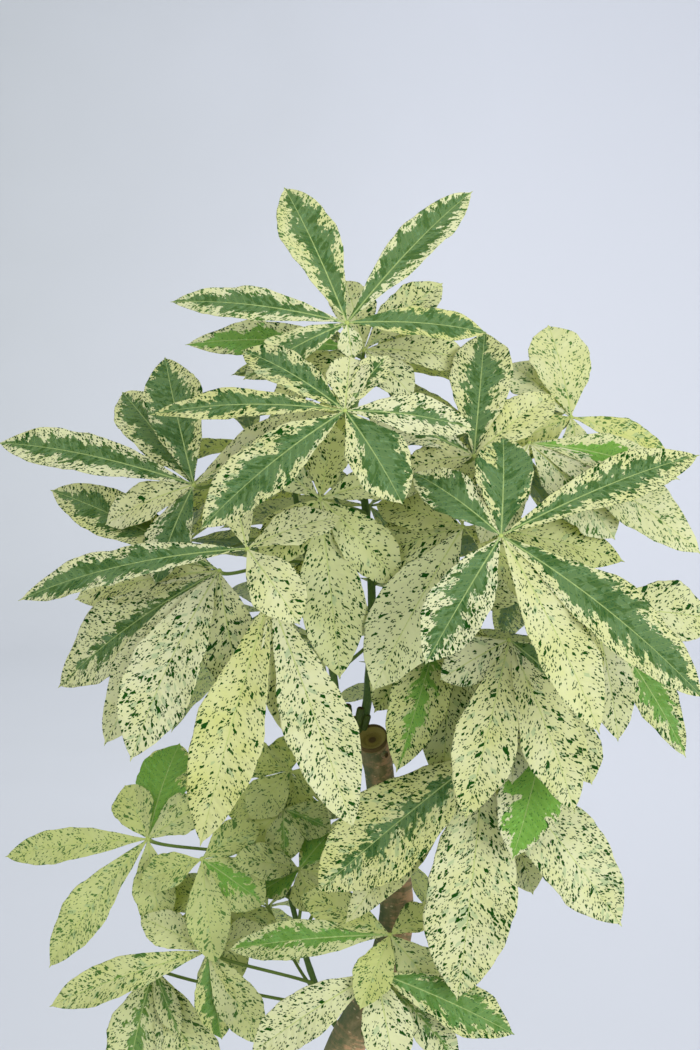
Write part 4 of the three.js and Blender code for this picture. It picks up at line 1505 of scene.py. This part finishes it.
@dataclass(frozen=True)
class Pot:
    """The plain tapered pot, in millimetres.

    Attributes:
        height: how high it stands.
        base_radius, rim_radius: its outer radius at the foot and at the rim.
        wall, floor: how thick its wall and its floor are.
        edge: how far its edges are rounded.
        middle: the radius of the smallest rings.
        around: points in a ring.
    """

    height: float = 240
    base_radius: float = 98
    rim_radius: float = 132
    wall: float = 6
    floor: float = 8
    edge: float = 3
    middle: float = 0.5
    around: int = 160

    def profile(self) -> Array:
        """Works out the profile from the middle of the base, out, over the rounded rim and in again.

        Returns:
            Radius and height, in millimetres.
        """
        quarter, half = np.linspace(0, np.pi / 2, 6), np.linspace(0, np.pi, 12)
        share = np.linspace(0.05, 0.95, 14)
        outer = self.base_radius + (self.rim_radius - self.base_radius) * share
        inner_height = self.floor + (self.height - self.edge - self.floor) * share
        parts = (
            (self.middle, 0),
            (self.base_radius - self.edge * (1 - np.sin(quarter)), self.edge * (1 - np.cos(quarter))),
            (outer, self.edge + (self.height - 2 * self.edge) * share),
            (
                self.rim_radius - self.wall / 2 * (1 - np.cos(half)),
                self.height - self.edge * (1 - np.sin(half)),
            ),
            (outer[::-1] - self.wall, inner_height[::-1]),
            (self.middle, self.floor),
        )
        return np.vstack([np.stack(part, axis=-1) for part in parts])

    def build(self, material: Material) -> Piece:
        """Turns the profile about the upright axis.

        Args:
            material: the pot's finish.

        Returns:
            The pot.
        """
        profile = self.profile() * MM
        skin = Skin()
        skin.add_grid(level_rings(profile[:, :1], profile[:, 1:], self.around))
        return skin.build("pot_skin", [material], Slot.POT, "pot")


@dataclass(frozen=True)
class Soil:
    """The soil's crumbly surface, in millimetres, with loose grains on it.

    Attributes:
        level, dome: its surface's height at the pot's wall, and how far the middle stands above.
        radius, foot_radius: its radius at the surface and at the foot.
        floor: the height of its underside.
        bumps: the sizes of the surface's waves.
        grains, grain_size: how many grains there are, and the least and the greatest.
        grain_levels, grain_widths: a grain's rings, as shares of its size.
        around: points in a ring of the surface.
    """

    level: float = 214
    dome: float = 6
    radius: float = 121.5
    foot_radius: float = 92
    floor: float = 9
    bumps: tuple[float, ...] = (50, 24, 13, 7, 4.5)
    grains: int = 1500
    grain_size: tuple[float, float] = (0.9, 2.6)
    grain_levels: tuple[float, ...] = (-0.75, -0.1, 0.7)
    grain_widths: tuple[float, ...] = (0.55, 1.0, 0.5)
    around: int = 180

    def height(self, x: Array | float, y: Array | float) -> Array:
        """The surface's height: a low dome plus waves of falling size in two directions.

        Args:
            x: metres to the right of the middle.
            y: metres behind it.

        Returns:
            The height in metres.
        """
        rng = np.random.default_rng(Seed.SOIL)
        far = np.sqrt(x**2 + y**2) / (self.radius * MM)
        rise = self.dome * 0.55 * (1 - far**2)
        bumps = 0.0
        for size in self.bumps:
            angle, phase = rng.uniform(0, 6, 2)
            wave = np.sin((x * math.cos(angle) + y * math.sin(angle)) * 6.28 / (size * MM) + phase)
            cross = np.sin((x * math.sin(angle) - y * math.cos(angle)) * 6.28 / (size * 0.8 * MM) + phase)
            bumps = bumps + 0.045 * size**0.8 * wave * cross
        return (self.level - 0.6 + rise + bumps * 0.8) * MM

    def build(self, material: Material) -> Piece:
        """Makes rings out from the trunk over the surface and down inside the pot, and the grains.

        Args:
            material: its finish.

        Returns:
            The piece.
        """
        out = np.linspace(0.02, 1, 70)[:, None] * self.radius * MM
        top = level_rings(out, 0, self.around)
        top[..., 2] = self.height(top[..., 0], top[..., 1])
        wall = ((self.radius - 3, self.level - 18), (self.foot_radius, self.floor), (2, self.floor))
        radius, height = np.array(wall).T[..., None] * MM
        skin = Skin()
        skin.add_grid(np.concatenate([top, level_rings(radius, height, self.around)])[::-1])
        self.strew(skin)
        return skin.build("soil_skin", [material], Slot.SOIL, "soil")

    def strew(self, skin: Skin) -> None:
        """Adds the grains: squashed six-sided pebbles at random places, sizes and turns.

        Args:
            skin: the soil's mesh so far.
        """
        rng = np.random.default_rng(Seed.GRAINS)
        levels = np.array(self.grain_levels)[:, None]
        for _ in range(self.grains):
            far = (self.radius - 6) * MM * math.sqrt(rng.uniform(0, 1))
            angle = rng.uniform(0, 2 * np.pi)
            x, y = far * math.cos(angle), far * math.sin(angle)
            size = rng.uniform(*self.grain_size) * MM
            ring = angles_round(6) + rng.uniform(0, 6)
            flat = rng.uniform(0.5, 0.9)
            widths = size * (self.grain_widths * rng.uniform(0.85, 1.15, 3))[:, None]
            z = self.height(x, y) + size * 0.7 * levels
            skin.add_grid(triples(x + widths * np.cos(ring), y + widths * np.sin(ring) * flat, z))


# Stage


@dataclass(frozen=True)
class Lamp:
    """A square soft light that looks at the crown.

    Attributes:
        name: its name.
        place, aim: where it stands, and the point that it looks at.
        size: its side.
        power: its power in watts.
        tint: its colour.
        beam: how wide it shines, in degrees.
    """

    name: str
    place: Triple
    size: float
    power: float
    tint: Triple
    aim: Triple = (0.02, 0, 1.0)
    beam: float = 80

    def build(self) -> None:
        """Adds the light, turned from straight down towards its aim."""
        light = bpy.data.lights.new(self.name, "AREA")
        light.shape = "SQUARE"
        light.size = self.size
        light.spread = math.radians(self.beam)
        light.energy = self.power
        light.color = self.tint
        holder = bpy.data.objects.new(self.name, light)
        holder.location = self.place
        right, behind, up = np.array(self.aim) - np.array(self.place)
        holder.rotation_euler = (math.atan2(math.hypot(right, behind), -up), 0, math.atan2(-right, behind))
        holder.visible_camera = False
        bpy.context.scene.collection.objects.link(holder)


@dataclass(frozen=True)
class Studio:
    """The plain floor, the pale backdrop, the soft lights and the camera.

    Attributes:
        left_colour, right_colour: the backdrop on the viewer's left and right, paler to the right as
            painted light.
        near_colour: the floor close to the plant, darker as painted shade.
        half_width: how far the floor reaches to the sides and to the front.
        curve_start, curve_radius: where the floor begins to turn up, and how wide that curve is.
        top: how high the backdrop is.
        sky, sky_strength: the light from all round.
        film: the height of the camera's film, in millimetres.
        lamps: the lights.
    """

    left_colour: tuple = colour(199, 202, 204)
    right_colour: tuple = colour(222, 224, 230)
    near_colour: tuple = colour(174, 177, 183)
    half_width: float = 40
    curve_start: float = 4.5
    curve_radius: float = 2.5
    top: float = 7
    sky: tuple = (0.92, 0.95, 1.0, 1)
    sky_strength: float = 1.02
    film: float = 36
    lamps: tuple[Lamp, ...] = (
        Lamp("window", (-2.8, -3.8, 3.0), 3.6, 19, (1.0, 0.99, 0.96)),
        Lamp("fill", (3.3, -3.8, 2.0), 3.4, 60, (0.96, 0.98, 1.0)),
        Lamp("top", (0.2, 0.1, 3.4), 1.8, 2, (0.99, 1.0, 0.98)),
    )

    def finish(self) -> Material:
        """The backdrop's finish: paler to the right as painted light, cloudy, and darker close to the plant
        as painted shade.

        Returns:
            The material.
        """
        graph = Graph("floor")
        place = graph.place()
        cloud = graph.noise(place, 1.4, 2) - 0.5
        x, y, z = graph.parts(place)
        # Paler to the right is painted light; the darker floor close to the plant is painted shade.
        right, near = (x * 0.45 + 0.75 + cloud * 0.3).clamped(), (y + z).step(3.5, 0.8) * 0.45
        body = graph.layers(self.left_colour, (right, self.right_colour), (near, self.near_colour))
        return graph.finish(graph.surface(body, 0.9))

    def sweep(self) -> None:
        """Lays the floor, which rises far behind the plant in one curve into an upright backdrop.

        Its profile runs flat from the front, turns up through a quarter circle and goes on upright.
        """
        turn = np.linspace(0, math.pi / 2, 48)
        y = self.curve_start + self.curve_radius * np.sin(turn)
        z = self.curve_radius * (1 - np.cos(turn))
        y, z = np.array([-self.half_width, *y, y[-1]]), np.array([0, *z, self.top])
        points = triples(np.array([-self.half_width, self.half_width]), y[:, None], z[:, None])
        row = np.arange(len(y) - 1) * 2
        faces = np.stack([row, row + 1, row + 3, row + 2], axis=-1)
        mesh = bpy.data.meshes.new("floor")
        mesh.from_pydata(points.reshape(-1, 3).tolist(), [], faces.tolist())
        mesh.polygons.foreach_set("use_smooth", np.ones(len(faces), bool))
        mesh.materials.append(self.finish())
        sheet = bpy.data.objects.new("floor", mesh)
        bpy.context.scene.collection.objects.link(sheet)

    def camera(self) -> None:
        """Puts the camera at the viewpoint, with a lens that takes in the sheet's height."""
        data = bpy.data.cameras.new("camera")
        data.sensor_fit = "VERTICAL"
        data.sensor_height = self.film
        data.lens = self.film * VIEW.distance / VIEW.height
        data.clip_end = 50
        holder = bpy.data.objects.new("camera", data)
        holder.location = VIEW.eye() * MM
        holder.rotation_euler = (math.radians(90 - VIEW.elevation), 0, 0)
        bpy.context.scene.collection.objects.link(holder)
        bpy.context.scene.camera = holder

    def build(self) -> None:
        """Sets the whole stage."""
        self.sweep()
        for lamp in self.lamps:
            lamp.build()
        world = bpy.data.worlds.new("studio")
        world.use_nodes = True
        shade = world.node_tree.nodes["Background"]
        shade.inputs["Color"].default_value = self.sky
        shade.inputs["Strength"].default_value = self.sky_strength
        bpy.context.scene.world = world
        self.camera()


def main() -> None:
    """Builds the plant, piece by piece, and its stage."""
    logging.basicConfig(level=logging.INFO, format="%(message)s")
    bpy.context.scene.view_settings.view_transform = "Standard"
    leaf_finishes = [LeafFinish().material(), StemFinish("petiole_green").material()]
    green = StemFinish("shoot_green", colour(92, 118, 50), colour(46, 74, 26)).material()
    young = StemFinish("young_bark", colour(96, 112, 50), colour(42, 66, 22)).material()
    pieces = [
        Pot().build(ClayFinish().material()),
        Soil().build(SoilFinish().material()),
        Trunk().build([BarkFinish().material(), CutFinish().material(), young]),
        *(shoot.build(green) for shoot in SHOOTS.values()),
    ]
    leaves = [leaf.leaf(number) for number, leaf in enumerate(FRONT_LEAVES)]
    leaves += [leaf.leaf(len(FRONT_LEAVES) + index, index) for index, leaf in enumerate(BACK_LEAVES)]
    pieces += [leaf.build(leaf_finishes) for leaf in leaves]
    for piece in pieces:
        LOG.info("%s: %d faces", piece.name, len(piece.data.polygons))
    Studio().build()


if __name__ == "__main__":
    main()
